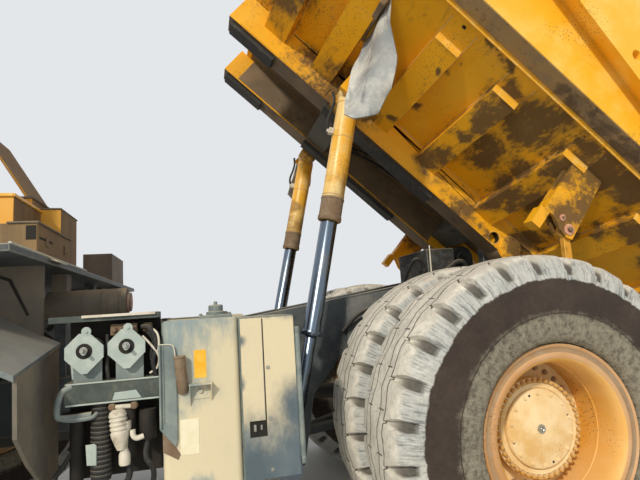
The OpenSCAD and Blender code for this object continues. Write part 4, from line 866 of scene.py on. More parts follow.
def rearWheelShapes():
    # Rims, hub with its disc, studs, bolts, and holes drawn as dark discs of painted shade, about the middle
    # of the twin
    plug = lathe([(0.012, 0.4255), (0.012, 0.4310), (0.015, 0.4340), (0.0255, 0.4340), (0.0275, 0.4310),
        (0.0275, 0.4255)], 32)
    # Hole marks: flat dark discs of painted shade
    marks = ringPlaces((0, 0, 0), 0.212, wheel["holes"], 0.4252, 0.28)
    holes = domes(marks, (0, 1, 0), 0.0085, 0.0012)
    screws = bolts(ringAt("coverBoltAt", "coverBolts"), (0, 1, 0), 0.0105, 0.011)
    centre = bolts([(0, 0.4255, 0)], (0, 1, 0), 0.009, 0.008, washer=1.05)
    studs = domes(ringAt("studAt", "studs"), (0, 1, 0), 0.0142, 0.026)
    nuts = bolts(ringAt("discBoltAt", "discBolts", 0.1), (0, 1, 0), 0.0150, 0.022)
    valve = pipe([(0, 0.262, 0.404), (0, 0.36, 0.410), (0, 0.50, 0.408)], 8, 0.006, 8)
    return {"rims": lathe(rimProfile(wheel["twin"]), 128), "hub": join(lathe(rearHub, 96, False), screws),
        "plug": join(plug, centre), "studs": studs, "nuts": nuts, "dark": join(holes, valve)}


def frontWheelShapes():
    screws = bolts(ringPlaces((0, 0, 0), 0.126, 10, 0.149), (0, 1, 0), 0.0105, 0.011)
    centre = bolts([(0, 0.149, 0)], (0, 1, 0), 0.020, 0.014)
    studs = domes(ringPlaces((0, 0, 0), 0.238, 32, 0.0605), (0, 1, 0), 0.013, 0.026)
    nuts = bolts(ringPlaces((0, 0, 0), 0.372, 28, 0.0005), (0, 1, 0), 0.0145, 0.021)
    valve = pipe([(0, 0.003, 0.404), (0, 0.08, 0.410), (0, 0.17, 0.406)], 8, 0.006, 8)
    return {"rims": lathe(rimProfile(0.0), 128), "hub": join(lathe(frontHub, 96, False), screws, centre),
        "studs": studs, "nuts": nuts, "dark": valve}


def rimFinish(offset):
    # Yellow drum, chalky lip and second ring, clay dust and painted shade in the hollow between them
    def rule(centres, normals):
        radius = np.hypot(centres[:, 0], centres[:, 2])
        outer = np.abs(centres[:, 1]) > offset + wheel["lipOut"]
        hollow = outer & (radius > wheel["hollow"][0]) & (radius < wheel["hollow"][1])
        return np.where(hollow, 2, np.where(outer & (radius > wheel["lipFrom"]), 1, 0))
    return rule


def makeWheel(kind, side, shapes, offset):
    # Each piece is placed at the wheel's middle, so its shader works in the wheel's own space
    body, node = f"{kind}_wheel_{side}", {"rear": f"rear_rims_{side}", "front": f"front_rim_{side}"}[kind]
    middle = jointAt[f"{kind}_spin_{side}"]
    finish = {"rims": [rimPaint, rimEdge, rimDustAndShade], "hub": hubPaint, "studs": studPaint, "plug": zincSteel,
        "nuts": rimDustAndShade, "dark": padRubber}
    for key, shape in shapes.items():
        if side == "right":
            shape = mirrored(shape)
        options = {"replaced": (node,), "pick": rimFinish(offset)} if key == "rims" else {}
        piece = makePiece(f"{kind}Wheel_{key}_{side}", shape, body, finish[key],
            "rubber_pad" if key == "dark" else "body_paint", smoothDeg=40, **options)
        piece.data.transform(Matrix.Translation(middle.tolist()))


for side in ("left", "right"):
    makeWheel("rear", side, rearWheelShapes(), wheel["twin"])
    makeWheel("front", side, frontWheelShapes(), 0.0)

print("flank: tank, service box and filters")
# The flank is drawn in metres from the rear axle
axle = np.array([jointAt["rear_spin_left"][0], 0, 0])


def flankPiece(name, shape, material, slotName="tank_paint", body="chassis", **options):
    return makePiece(name, moved(shape, axle), body, material, slotName, **options)


def sheet(outline, low, high, bevel=0.002):
    # Outline in X and Z carried along Y
    verts, faces = plate(outline, low, high, bevel)
    return verts[:, [0, 2, 1]], faces


def roundRect(x, y, radius, n=5):
    # Corners of a rectangle on arcs
    out = []
    quarter = np.linspace(0, np.pi / 2, n)
    for cx, cy, start in ((x[1], y[1], 0), (x[0], y[1], 1), (x[0], y[0], 2), (x[1], y[0], 3)):
        mx, my = cx - math.copysign(radius, cx - sum(x) / 2), cy - math.copysign(radius, cy - sum(y) / 2)
        arc = quarter + start * np.pi / 2
        out += [(mx + radius * math.cos(a), my + radius * math.sin(a)) for a in arc]
    return out


def turnedOn(profile, origin, direction, n=32, closed=False):
    # The profile of radius and distance carried round an axis
    verts, faces = lathe(profile, n, closed)
    return verts[:, [0, 2, 1]] @ axesTo(direction).T + np.asarray(origin, float), faces


def onAxle(rows):
    return [(x + axle[0], y, z, r) for x, y, z, r in rows]


tankBare = onAxle([(2.30, 1.88, 1.98, 0.56), (2.28, 1.9, 1.66, 0.40), (2.26, 1.9, 1.40, 0.22),
    (2.02, 1.88, 2.02, 0.34), (1.88, 1.88, 2.00, 0.20), (2.08, 1.88, 0.98, 0.14)])
doorBare = onAxle([(1.46, 1.88, 1.06, 0.50), (1.66, 1.88, 0.98, 0.44), (1.82, 1.88, 1.00, 0.50),
    (1.47, 1.88, 1.36, 0.26), (1.50, 1.88, 1.93, 0.09), (1.58, 1.88, 1.94, 0.09), (1.66, 1.88, 1.93, 0.07),
    (1.85, 1.88, 1.75, 0.07), (1.85, 1.88, 1.55, 0.06)])
tankSkin = weatheredPaint("tank paint under dried clay", "#86989c", fade=("#9aa59c", 0.8),
    grime=("#6d7a7c", 0.14), dots=("#4a3322", 0.06), dust=("#e0d4b2", 0.6, 700), bareSpots=tankBare,
    rough=0.62, cover=0.90, stretch=(1.8, 1, 0.5), frayMm=70, fray=0.8, warp=0.25)
doorSkin = weatheredPaint("door paint under dried clay", "#505f68", fade=("#66757e", 0.7, 300),
    grime=("#465058",), dots=("#4a3322", 0.12), dust=("#e1d5b4", 0.6, 700), bareSpots=doorBare, rough=0.55,
    cover=0.92, stretch=(1.4, 1, 0.8), frayMm=55, fray=0.45, warp=0.16)
doorRim = weatheredPaint("door paint, rubbed", "#a9b0ad", fade=("#cfc5a6", 0.9), grime=("#4a3b2c", 0.15),
    dots=("#4a3322", 0.1), dust=("#d9cdb0", 0.4), rough=0.5)
# Painted shade: the filter bank's beam and top bar darkened because they sit in shade
beamShadePaint = weatheredPaint("beam paint, dark slate", "#3b4542", fade=("#525d59", 0.8, 160),
    grime=("#262b2a", 0.4, 120), dots=("#4a3322", 0.2), dust=("#948f7d", 0.35, 110), rough=0.6)
slatePaint = weatheredPaint("bracket paint, slate", "#6f7d7e", fade=("#8b9794", 0.8, 160),
    grime=("#3d4444", 0.34, 120), dots=("#4a3322", 0.2), dust=("#b9b39c", 0.4, 110), rough=0.6)
paleSheet = weatheredPaint("zinc sheet, chalky", "#a5b4b0", fade=("#bcc7c0", 0.7, 90),
    grime=("#8a9590", 0.2, 50), dots=("#4a3322", 0.12, 4), dust=("#dcdccd",), rough=0.55)
whitePaint = weatheredPaint("white enamel, scuffed", "#d8d3c4", fade=("#b9b09c", 0.7, 60),
    grime=("#5f5546", 0.42, 60), dots=("#4a3322", 0.1), dust=("#cfc7b2", 0.25), rough=0.5)
hoseRubber = weatheredPaint("hose rubber, braided cover", "#1d1e1f", fade=("#3a3936", 0.6, 90),
    dots=("#4a3322", 0.05), dust=("#8e8470", 0.3, 90), rough=0.7)
# Painted shade: near black for holes, gaps, slots and recesses
paintedShadeVoid = weatheredPaint("oily recess", "#15130f", fade=("#2a241c", 0.7, 140),
    dots=("#4a3322", 0.1), dust=("#4b4132", 0.3, 120), rough=0.8)
claySteel = weatheredPaint("steel under clay", "#75604a", fade=("#8a7a66", 0.8, 90),
    grime=("#2c241c", 0.4, 70), dots=("#4a3322", 0.3, 5), dust=("#a39478", 0.4, 70), rough=0.75)
labelYellow = weatheredPaint("vinyl label, blank yellow", "#f0b51e", fade=("#f4cf62", 0.5, 60),
    grime=("#8a7740", 0.12, 40), dots=("#4a3322", 0.1, 3), dust=("#d8c48a",), rough=0.4)
labelWhite = weatheredPaint("vinyl label, blank cream", "#efe9cd", fade=("#e2d8b4", 0.5, 50),
    grime=("#a89668", 0.12, 30), dots=("#4a3322", 0.1, 3), dust=("#dccfa6",), rough=0.45)

tankFace, bankFace = 1.879, 1.900
flankPiece("tankShell", plate(roundRect((1.831, 2.249), (1.10, tankFace), 0.036), 0.90, 1.899, 0.006),
    tankSkin, replaced=("hydraulic_tank",), smoothDeg=40)
cap = turnedOn([(0.058, 1.915), (0.058, 1.935), (0.044, 1.940), (0.044, 1.972), (0.038, 1.978),
    (0.012, 1.980), (0.011, 1.998), (0, 2.0)], (1.945, 1.6, 0), (0, 0, 1), 28)
flankPiece("tankFiller", join(boxes([((1.852, 1.51, 1.895), (2.05, 1.69, 1.918))], 0.004), cap,
    bolts([(x, y, 1.918) for x in (1.866, 1.95, 2.036) for y in (1.525, 1.675)], (0, 0, 1), 0.011, 0.011)),
    slatePaint)
strip = sheet([(2.262, 1.776), (2.208, 1.774), (2.190, 1.765), (2.181, 1.738), (2.172, 1.66), (2.172, 1.27),
    (2.183, 1.236), (2.262, 1.332)], 1.876, 1.892)
lip = boxes([((2.252, 1.876, 1.34), (2.262, 1.905, 1.776)), ((2.236, 1.889, 1.36), (2.240, 1.897, 1.76))],
    0.0015)
rim = pipe([(2.262, 1.893, 1.776), (2.208, 1.893, 1.774), (2.188, 1.893, 1.764), (2.180, 1.893, 1.738),
    (2.172, 1.893, 1.66)], 24, 0.0035, 8)
flankPiece("tankStrip", join(strip, lip), slatePaint)
flankPiece("tankStripRim", rim, whitePaint)
flankPiece("tankSkirt", sheet([(2.249, 1.335), (2.184, 1.236), (2.160, 1.195), (2.172, 1.168),
    (2.249, 1.215)], 1.870, 1.884), claySteel)
stub = pipe([(2.140, 1.870, 1.520), (2.143, 1.900, 1.565), (2.148, 1.912, 1.630), (2.153, 1.914, 1.700)],
    16, 0.030, 20)
mouth = turnedOn([(0.030, 0), (0.033, 0.003), (0.033, 0.009), (0.029, 0.012), (0.021, 0.010),
    (0.020, 0.004), (0, 0.004)], (2.153, 1.914, 1.698), (0.07, 0.02, 1), 24)
flankPiece("tankStub", join(stub, mouth), claySteel)
standing = [[0, 0, 1], [1, 0, 0], [0, 1, 0]]
ears = [moved(plate([(1.878, low), (1.936, 1.550), (1.878, 1.550)], 0, 0.006, 0.001), (x, 0, 0), standing)
    for x, low in ((2.100, 1.430), (1.987, 1.450))]
bracket = join(boxes([((1.990, 1.878, 1.470), (2.103, 1.884, 1.550)),
    ((1.985, 1.878, 1.548), (2.108, 1.936, 1.556))], 0.0015), *ears,
    bolts([(2.047, 1.884, 1.512)], (0, 1, 0), 0.012, 0.012))
flankPiece("tankBracket", bracket, tankSkin)
flankPiece("tankLabel", boxes([((2.013, 1.878, 1.580), (2.079, 1.8802, 1.731))], 0.0005), labelYellow)
flankPiece("tankPlate", boxes([((2.062, 1.878, 1.187), (2.159, 1.8808, 1.370))], 0.0005), labelWhite)

# The door's outer sheet has a slot for a seam and a pocket for the latch
doorSheet = sheet([(1.820, 1.882), (1.7005, 1.882), (1.7005, 1.319), (1.788, 1.319), (1.788, 1.232),
    (1.692, 1.232), (1.692, 1.882), (1.514, 1.882), (1.514, 1.008), (1.820, 1.008)], 1.879, 1.890, 0.0015)
flankPiece("doorSheet", doorSheet, doorSkin, "tank_paint", "service_door")
hingeBolts = bolts([(1.674, 1.890, z) for z in (1.604, 1.325, 1.054)], (0, 1, 0), 0.0085, 0.008)
seam = pipe([(1.7005, 1.8905, 1.882), (1.7005, 1.8905, 1.6), (1.7005, 1.8905, 1.319)], 4, 0.0018, 6)
latch = boxes([((1.752, 1.880, 1.262), (1.768, 1.892, 1.300)),
    ((1.718, 1.880, 1.268), (1.730, 1.890, 1.296))], 0.003)
flankPiece("doorTrim", join(hingeBolts, seam, latch), zincSteel, "tank_paint", "service_door")
# Painted shade at the back of the latch pocket and the seam slot
flankPiece("doorRecess", boxes([((1.6922, 1.878, 1.2322), (1.7878, 1.8815, 1.3188)),
    ((1.6925, 1.878, 1.319), (1.700, 1.8812, 1.880))], 0.0004), paintedShadeVoid, "tank_paint", "service_door")

print("filter bank")
for x, z, tab in ((2.631, 1.765, (2.621, 1.874)), (2.423, 1.775, (2.415, 1.880))):
    # A dark disc of painted shade round each stud, standing for the recess behind it
    dish = turnedOn([(0.040, 0), (0.040, 0.0016), (0, 0.0016)], (x, bankFace, z + 0.008), (0, 1, 0), 28)
    flankPiece(f"filterDish{x}", dish, paintedShadeVoid)
    stud = join(rodShape((x, bankFace, z + 0.012), (x, bankFace + 0.062, z + 0.012), 0.0095, 14),
        bolts([(x, bankFace + 0.012, z + 0.012)], (0, 1, 0), 0.015, 0.012))
    flankPiece(f"filterStud{x}", stud, zincSteel)
    ear = join(turnedOn([(0.024, -0.012), (0.024, 0.0), (0.022, 0.0015), (0, 0.0015)],
        (tab[0], bankFace, tab[1]), (0, 1, 0), 20),
        bolts([(tab[0], bankFace + 0.0015, tab[1])], (0, 1, 0), 0.0085, 0.007))
    flankPiece(f"filterEar{x}", ear, paleSheet)
flankPiece("filterGusset", sheet([(2.712, 1.760), (2.700, 1.628), (2.655, 1.622)], 1.846, 1.852), paleSheet)
beamPatch = join(boxes([((2.262, 1.883, 1.498), (2.722, 1.893, 1.506)),
    ((2.262, 1.882, 1.604), (2.722, 1.890, 1.612))], 0.002),
    sheet([(2.497, 1.510), (2.486, 1.548), (2.380, 1.552), (2.352, 1.510)], 1.884, 1.8865, 0.0008))
flankPiece("beamEdges", beamPatch, paleSheet)
pipes = join(pipe([(2.690, 1.878, 1.600), (2.738, 1.878, 1.572), (2.758, 1.876, 1.520),
    (2.762, 1.874, 1.462), (2.735, 1.870, 1.442), (2.600, 1.868, 1.446)], 40, 0.016, 14),
    pipe([(2.735, 1.875, 1.435), (2.680, 1.880, 1.428), (2.600, 1.876, 1.432), (2.575, 1.86, 1.45)], 24,
    0.011, 12))
flankPiece("bankPipes", pipes, slatePaint)
ribs = [(0.0, 1.105), (0.046, 1.105), (0.050, 1.112)]
for z in np.arange(1.125, 1.49, 0.024):
    ribs += [(0.050, z), (0.053, z + 0.004), (0.053, z + 0.011), (0.050, z + 0.015)]
ribs += [(0.050, 1.505), (0, 1.505)]
flankPiece("ribbedCanister", turnedOn(ribs, (2.563, 1.82, 0), (0, 0, 1), 36), moulding)
# Painted highlight: a pale sheet on the canister's face
flankPiece("canisterPatch", sheet([(2.628, 1.297), (2.586, 1.300), (2.576, 1.290), (2.576, 1.192),
    (2.622, 1.197)], 1.868, 1.876), paleSheet)
bowl = turnedOn([(0, 1.175), (0.026, 1.175), (0.029, 1.185), (0.029, 1.225), (0.017, 1.262), (0.019, 1.300),
    (0.031, 1.352), (0.034, 1.358), (0.034, 1.392), (0.031, 1.397), (0, 1.397)], (2.442, 1.862, 0),
    (0, 0, 1), 32)
flankPiece("filterBowl", bowl, whitePaint)
valve = [(0, 1.262), (0.022, 1.262), (0.030, 1.285), (0.044, 1.330), (0.046, 1.345)]
for z in (1.350, 1.372, 1.394, 1.416):
    valve += [(0.046, z), (0.041, z + 0.006), (0.041, z + 0.012), (0.046, z + 0.018)]
valve += [(0.040, 1.455), (0.022, 1.468), (0, 1.468)]
fittings = join(turnedOn(valve, (2.330, 1.872, 0), (0.1, 0, 1), 32),
    pipe([(2.345, 1.878, 1.312), (2.378, 1.884, 1.306), (2.396, 1.886, 1.322), (2.398, 1.886, 1.350)], 16,
    0.014, 12), rodShape((2.492, 1.872, 1.473), (2.402, 1.872, 1.470), 0.012, 14))
flankPiece("filterValve", fittings, whitePaint)
knuckles = join(domes([(2.392, 1.862, 1.472), (2.500, 1.862, 1.474)], (0, 1, 0), 0.021, 0.026, 14),
    boxes([((2.375, 1.80, 1.840), (2.510, 1.86, 1.902)), ((2.300, 1.78, 1.850), (2.345, 1.85, 1.900))],
    0.006), bolts([(2.49, 1.86, 1.872), (2.455, 1.86, 1.872), (2.325, 1.85, 1.875)], (0, 1, 0), 0.013,
    0.018))
flankPiece("bankFittings", knuckles, claySteel)
hoses = [pipe(path, 40, radius, 12) for path, radius in (
    ([(2.350, 1.86, 1.880), (2.305, 1.88, 1.870), (2.275, 1.885, 1.780), (2.292, 1.88, 1.690),
    (2.276, 1.87, 1.610)], 0.013),
    ([(2.330, 1.84, 1.860), (2.290, 1.86, 1.800), (2.302, 1.86, 1.720), (2.268, 1.86, 1.640),
    (2.280, 1.85, 1.560)], 0.011),
    ([(2.528, 1.84, 1.850), (2.522, 1.86, 1.760), (2.526, 1.86, 1.680), (2.520, 1.85, 1.610)], 0.010),
    ([(2.700, 1.83, 1.260), (2.740, 1.84, 1.200), (2.790, 1.82, 1.130), (2.800, 1.78, 1.020)], 0.013),
    ([(2.328, 1.85, 1.290), (2.336, 1.86, 1.200), (2.300, 1.85, 1.120), (2.318, 1.80, 1.000)], 0.014),
    ([(2.430, 1.83, 1.200), (2.420, 1.85, 1.120), (2.450, 1.84, 1.050), (2.440, 1.78, 0.960)], 0.016),
    ([(2.676, 1.83, 1.110), (2.670, 1.84, 1.060), (2.690, 1.82, 1.010), (2.680, 1.76, 0.950)], 0.018),
    ([(2.563, 1.82, 1.105), (2.560, 1.83, 1.050), (2.540, 1.80, 0.990), (2.550, 1.72, 0.950)], 0.020))]
flankPiece("bankHoses", join(*hoses), hoseRubber)
whips = [pipe(path, 32, 0.006, 10) for path in (
    [(2.318, 1.87, 1.880), (2.268, 1.89, 1.840), (2.262, 1.89, 1.760), (2.300, 1.88, 1.700)],
    [(2.345, 1.87, 1.830), (2.300, 1.89, 1.780), (2.262, 1.89, 1.720), (2.270, 1.88, 1.660),
    (2.310, 1.87, 1.630)])]
flankPiece("bankWhips", join(*whips), whitePaint)


# Parts of the bank by least Y, least and most height, and finish: beam, webs, housing plates and top bar
bankParts = [(1.742, 1.4995, 1.62, 3), (1.742, 1.612, 1.9, 1), (1.886, 1.64, 1.9, 2), (0, 1.9245, 9, 3)]


def bankFinish(centres, normals):
    # Beam and bar in slate darkened with painted shade, slate webs and pale housing plates on a back of
    # painted shade
    p = centres - axle
    pick = np.full(len(p), 0)
    for front, low, high, finish in bankParts:
        pick[(p[:, 1] > front) & (p[:, 2] > low) & (p[:, 2] < high)] = finish
    return pick


def boxSides(centres, normals):
    # Cream front face over slate sides and hinges
    p = centres - axle
    return np.where((normals[:, 1] > 0.7) & (p[:, 1] > 1.86) & (p[:, 0] > 1.512), 0, 1)


dress("service_door", (doorSkin, slatePaint), 0.005, boxSides)
dress("service_box", (tankSkin, slatePaint), 0.005, boxSides)
dress("filter_bank", (paintedShadeVoid, slatePaint, paleSheet, beamShadePaint), 0.003, bankFinish)
bankBox = boxOf("filter_bank")
barTop, barFront = bankBox[1][2], bankBox[1][1]
# Painted highlight: a white strip along the top edge of the bar's front face
makePiece("lightStrip", boxes([((bankBox[0][0] + 0.012, barFront - 0.001, barTop - 0.013),
    (bankBox[1][0] - 0.16, barFront + 0.003, barTop + 0.001))], 0.001), "chassis", whitePaint, "tank_paint")

print("hoists and flaps")


def alongHoist(points):
    # Distance down the cylinder, out to the left and forward across it
    p = np.asarray(points, float)
    left, across = np.array([0, 1, 0]), np.array([0.974038, 0, 0.226386])
    return hoist["eye"] + p[..., 0:1] * hoist["run"] + p[..., 1:2] * left + p[..., 2:3] * across


collar = [(0.092, 0.960), (0.098, 0.964), (0.098, 0.978), (0.094, 0.984), (0.0945, 1.120), (0.099, 1.124),
    (0.099, 1.150), (0.095, 1.158), (0.074, 1.160), (0.0715, 1.152)]
collarShape = turnedOn(collar, hoist["eye"], hoist["run"], 64)
bands = join(*(turnedOn(bandProfile(0.092, d, 0.0025, 0.012, 0.002), hoist["eye"], hoist["run"], 64)
    for d in (0.105, 0.42, 0.935)))
fitting = join(boxes([((-0.026, -0.026, 0.0), (0.026, 0.026, 0.045))], 0.004),
    bolts([(0, 0, 0.045)], (0, 0, 1), 0.014, 0.016))
fitting = alongHoist(fitting[0] * (-1, 1, 1) + (0.385, 0.01, 0.088)), fitting[1]
hoistHose = tube(alongHoist(smoothPath([(0.37, 0.01, 0.140), (0.30, 0.02, 0.155), (0.18, 0.03, 0.135),
    (0.10, 0.03, 0.130), (0.03, 0.01, 0.150)], 32)), 0.012, 12)
for side, turnSide in (("left", lambda shape: shape), ("right", mirrored)):
    body = f"hoist_barrel_{side}"
    makePiece(f"glandCollar_{side}", turnSide(collarShape), body, claySteel, "body_paint")
    makePiece(f"barrelBands_{side}", turnSide(bands), body, machineEdge, "body_paint")
    makePiece(f"hoistFitting_{side}", turnSide(fitting), body, whitePaint, "body_paint")
    makePiece(f"hoistHose_{side}", turnSide(hoistHose), body, hoseRubber, "rubber_pad")

flap = {
    "middle": [(2.335, 1.315, 0.44), (2.255, 1.318, 0.25), (2.145, 1.322, 0.08), (2.045, 1.322, -0.11),
        (1.980, 1.320, -0.31), (1.985, 1.315, -0.46)],
    "half": [0.225, 0.23, 0.245, 0.215, 0.16, 0.05], "twistDeg": [0, 12, 33, 50, 56, 60], "thick": 0.012,
}


def flapShape(rows=36, columns=9):
    # A sheet that twists as it hangs; its two faces are joined round the rim
    t = np.linspace(0, 1, rows)
    knots = np.linspace(0, 1, len(flap["half"]))
    middle = np.stack([np.interp(t, knots, [m[i] for m in flap["middle"]]) for i in range(3)], 1)
    half = np.interp(t, knots, flap["half"]) + 0.006 * np.sin(t * 17)
    twist = np.radians(np.interp(t, knots, flap["twistDeg"]))
    across = np.stack([-np.sin(twist), np.cos(twist), np.zeros(rows)], 1)
    normal = np.stack([np.cos(twist), np.sin(twist), np.zeros(rows)], 1)
    s = np.linspace(-1, 1, columns)
    wave, ends = np.sin(np.pi * (s[None] * 0.9 + 0.35 * t[:, None])), np.sin(np.pi * np.clip(t, 0.08, 1))
    curl = 0.052 * wave * ends[:, None] + 0.008 * np.sin(t * 13)[:, None]
    face = middle[:, None] + half[:, None, None] * s[None, :, None] * across[:, None]
    face = face + curl[..., None] * normal[:, None]
    back = face - flap["thick"] * normal[:, None]
    verts, faces = gridShape(np.concatenate([face, back[:, ::-1]], 1), False, True)
    n = 2 * columns
    return fromSill(verts), faces + [list(range(n)), list(range(len(verts) - n, len(verts)))[::-1]]


def sillBoxes(rows, bevel=0.003):
    verts, faces = boxes(rows, bevel)
    return fromSill(verts), faces


flapBar = sillBoxes([((2.315, 1.06, 0.30), (2.360, 1.57, 0.36))], 0.004)
makePiece("flaps", bothSides(flapShape()), "bed", flapRubber, "rubber_pad", ("mud_flaps",), 60)
makePiece("flapBars", bothSides(flapBar), "bed", claySteel, "rubber_pad")

print("body details")


def toSill(points):
    # The row frame back to u, y and w of the sills
    rel = points - hinge
    return np.stack([rel[:, 0] * math.cos(sillAngle) + rel[:, 2] * math.sin(sillAngle), rel[:, 1],
        rel[:, 2] * math.cos(sillAngle) - rel[:, 0] * math.sin(sillAngle)], 1)


def sillFinish(centres, normals):
    # Yellow outside, grease and painted shade under the sills and between them, dark cross blocks
    p = toSill(centres)
    out = np.abs(p[:, 1])
    under = (p[:, 2] < bedPlan["sillLow"]) & (out < bedPlan["greaseOut"]) & (np.abs(normals[:, 1]) < 0.5)
    return np.where(out < bedPlan["blockOut"], 2, np.where(under, 1, 0))


def floorFinish(centres, normals):
    # Scoured on top, grease and painted shade between the sills, yellow elsewhere
    p = toSill(centres)
    up = normals @ np.array(bedUp)
    darkened = (np.abs(p[:, 1]) < bedPlan["greaseOut"]) & (p[:, 2] < 0.21)
    return np.where(up > 0.6, 2, np.where(darkened, 1, 0))


def wallFinish(centres, normals):
    # Scoured on the faces that the load rubs
    out, ahead = np.abs(centres[:, 1]), np.array([math.cos(bedAngle), 0, math.sin(bedAngle)])
    inward = (out < 2.02) & (normals[:, 1] * centres[:, 1] < -0.4 * out)
    back = (normals @ ahead < -0.6) & (out < 1.9)
    return np.where(inward | back, 2, 0)


dress("bed_sills", (bodyEnamel, greaseAndShadePaint, blockPaint), 0.006, sillFinish)
dress("bed_floor", (bodyEnamel, greaseAndShadePaint, scouredSteel), 0.008, floorFinish)
dress("bed_sides", (sunlitSideEnamel, bodyEdge, scouredSteel), 0.008, wallFinish)
dress("bed_front_wall", (bodyEnamel, bodyEdge, scouredSteel), 0.008, wallFinish)
# Painted shade with dust: a brown band on the downward face under the side wall's lower edge
bandShadeAndDust = weatheredPaint("side wall's lower edge, scoured", "#a88a5c", fade=("#8f8068", 0.8, 180),
    grime=("#5a4a3c", 0.3, 120), dots=("#3d2f26", 0.6, 8), dust=("#b59f7c", 0.5), grimeSpots=bedGrime,
    rough=0.6)
# Painted highlight: an enamel lighter than the body's for narrow edges that catch the sun, the rib ends, the
# floor's edge flange and a box rib
edgeHighlightEnamel = weatheredPaint("rib end, bright enamel", "#f3b536", fade=("#f6cf7a", 0.6, 80),
    grime=("#4a3b2c", 0.1), dots=("#4a3322", 0.6, 7), dust=("#cbb685", 0.1), rough=0.4)


def floorAt(y):
    # Underside of the floor over the sills' frame
    return bedPlan["sillHigh"] + max(0.0, abs(y) - bedPlan["sillOut"]) * bedPlan["vee"]


def bedPiece(name, shape, material, slotName="body_paint"):
    # A piece of the body with its mirror image on the far side
    return makePiece(name, bothSides(shape), "bed", material, slotName)


def sillDisc(profile, u, y, w, n=36):
    # Ring or washer round Y on a face of the body
    return turnedOn(profile, fromSill([(u, y, w)])[0], (0, 1, 0), n)


# The sills' inner faces, lined in dark brown painted shade and grease
lining = [((0.42, 0.366, -0.085), (1.99, 0.3705, 0.195)), ((2.26, 0.366, -0.085), (3.24, 0.3705, 0.195))]
bedPiece("sillLining", sillBoxes(lining, 0.001), greaseAndShadePaint)
# The hole in the sill, lined with painted shade
holeCup = [(0.054, 0.0), (0.054, -0.10), (0, -0.10)]
bedPiece("sillHoleCup", sillDisc(holeCup, 0.18, 0.608, -0.03, 32), paintedShadeVoid)
foot, lowEdge = bedPlan["foot"], floorAt(bedPlan["foot"])
# Edge flange in enamel lightened as a painted highlight
bedPiece("edgeFlange", sillBoxes([((-2.0, foot - 0.014, lowEdge - 0.040),
    (3.2, foot - 0.002, lowEdge + 0.002))], 0.002), edgeHighlightEnamel)
# A thin sheet over the band under the side wall, brown with painted shade and dust
bedPiece("edgeBand", sillBoxes([((-2.0, foot + 0.004, lowEdge - 0.0045), (3.2, 2.024, lowEdge + 0.001))],
    0.001), bandShadeAndDust)
half = bedPlan["ribHalf"]
# Rib ends in enamel lightened as a painted highlight
lips = [((u - half, bedPlan["tip"][0] - 0.002, bedPlan["tip"][1] - 0.004),
    (u + half, bedPlan["tip"][0] + 0.007, 0.437)) for u in bedPlan["ribs"]]
bedPiece("ribLips", sillBoxes(lips, 0.003), edgeHighlightEnamel)
seams = []
for u in bedPlan["ribs"]:
    for side in (-half - 0.004, half + 0.004):
        seams.append(rodShape((u + side, 0.62, floorAt(0.62) - 0.002),
            (u + side, 1.77, floorAt(1.77) - 0.002), 0.0075, 6))
    for side in (-half, half):
        seams.append(rodShape((u + side, 0.613, 0.07), (u + side, 0.613, floorAt(0.61)), 0.007, 6))
for y in (0.613, foot - 0.018):
    seams.append(rodShape((-2.0, y, floorAt(y) - 0.002), (3.2, y, floorAt(y) - 0.002), 0.006, 6))
verts, faces = join(*seams)
bedPiece("weldSeams", (fromSill(verts), faces), bodyEdge)

bedPiece("sillHoleRim", sillDisc([(0.0565, -0.001), (0.0565, 0.004), (0.066, 0.004), (0.070, 0.001),
    (0.070, -0.001)], 0.18, 0.61, -0.028), bodyEdge)
coverDisc = sillDisc([(0.118, 0), (0.118, 0.008), (0.110, 0.012), (0, 0.012)], 0, 0.61, 0)
turns = np.arange(6) * math.pi / 3 + 0.3
coverBolts = fromSill([(0.09 * math.cos(t), 0.622, 0.09 * math.sin(t)) for t in turns])
bedPiece("hingeCover", join(coverDisc, bolts(coverBolts, (0, 1, 0), 0.010, 0.009)), bodyEnamel)
bedPiece("sillDoubler", sillBoxes([((0.62, 0.608, -0.092), (2.02, 0.617, 0.03)),
    ((2.30, 0.608, -0.092), (3.30, 0.617, 0.02))], 0.003), bodyEnamel)
bracketWashers = join(sillDisc([(0.044, 0), (0.044, 0.008), (0.034, 0.010), (0.022, 0.010), (0.020, 0.006),
    (0, 0.006)], 0.128, 1.5955, -0.104, 28),
    sillDisc([(0.026, 0), (0.026, 0.006), (0, 0.006)], 0.225, 1.5955, -0.062, 24))
bedPiece("ejectorWashers", bracketWashers, weatheredPaint("primer, pink, rubbed", "#c98d74",
    fade=("#d8b79a", 0.7, 40), grime=("#4a3b2c", 0.2, 40), dots=("#4a3322", 0.2, 4), rough=0.5))
bracketPins = join(sillDisc([(0.017, 0), (0.017, 0.022), (0.012, 0.026), (0, 0.026)], 0.128, 1.6015,
    -0.104, 20), sillDisc([(0.009, 0), (0.009, 0.016), (0, 0.016)], 0.225, 1.6015, -0.062, 16))
bedPiece("ejectorPins", bracketPins, claySteel)
# Holes in the rib ends drawn as dark patches of painted shade
bedPiece("ribHoles", sillBoxes([((1.735, 1.748, 0.466), (1.765, 1.772, 0.4745)),
    ((2.44, 1.748, 0.466), (2.47, 1.772, 0.4745))], 0.001), paintedShadeVoid)
pipes = [tube(fromSill(smoothPath(path, 30)), 0.015, 10) for path in (
    [(2.121, 0.352, -0.04), (2.0, 0.28, -0.03), (1.6, 0.18, 0.10), (1.0, 0.15, 0.165), (0.5, 0.14, 0.170)],
    [(2.15, 0.350, -0.06), (2.05, 0.24, -0.04), (1.6, 0.12, 0.12), (1.0, 0.08, 0.165), (0.5, 0.08, 0.170)])]
bedPiece("bedHoses", join(*pipes), hoseRubber, "rubber_pad")

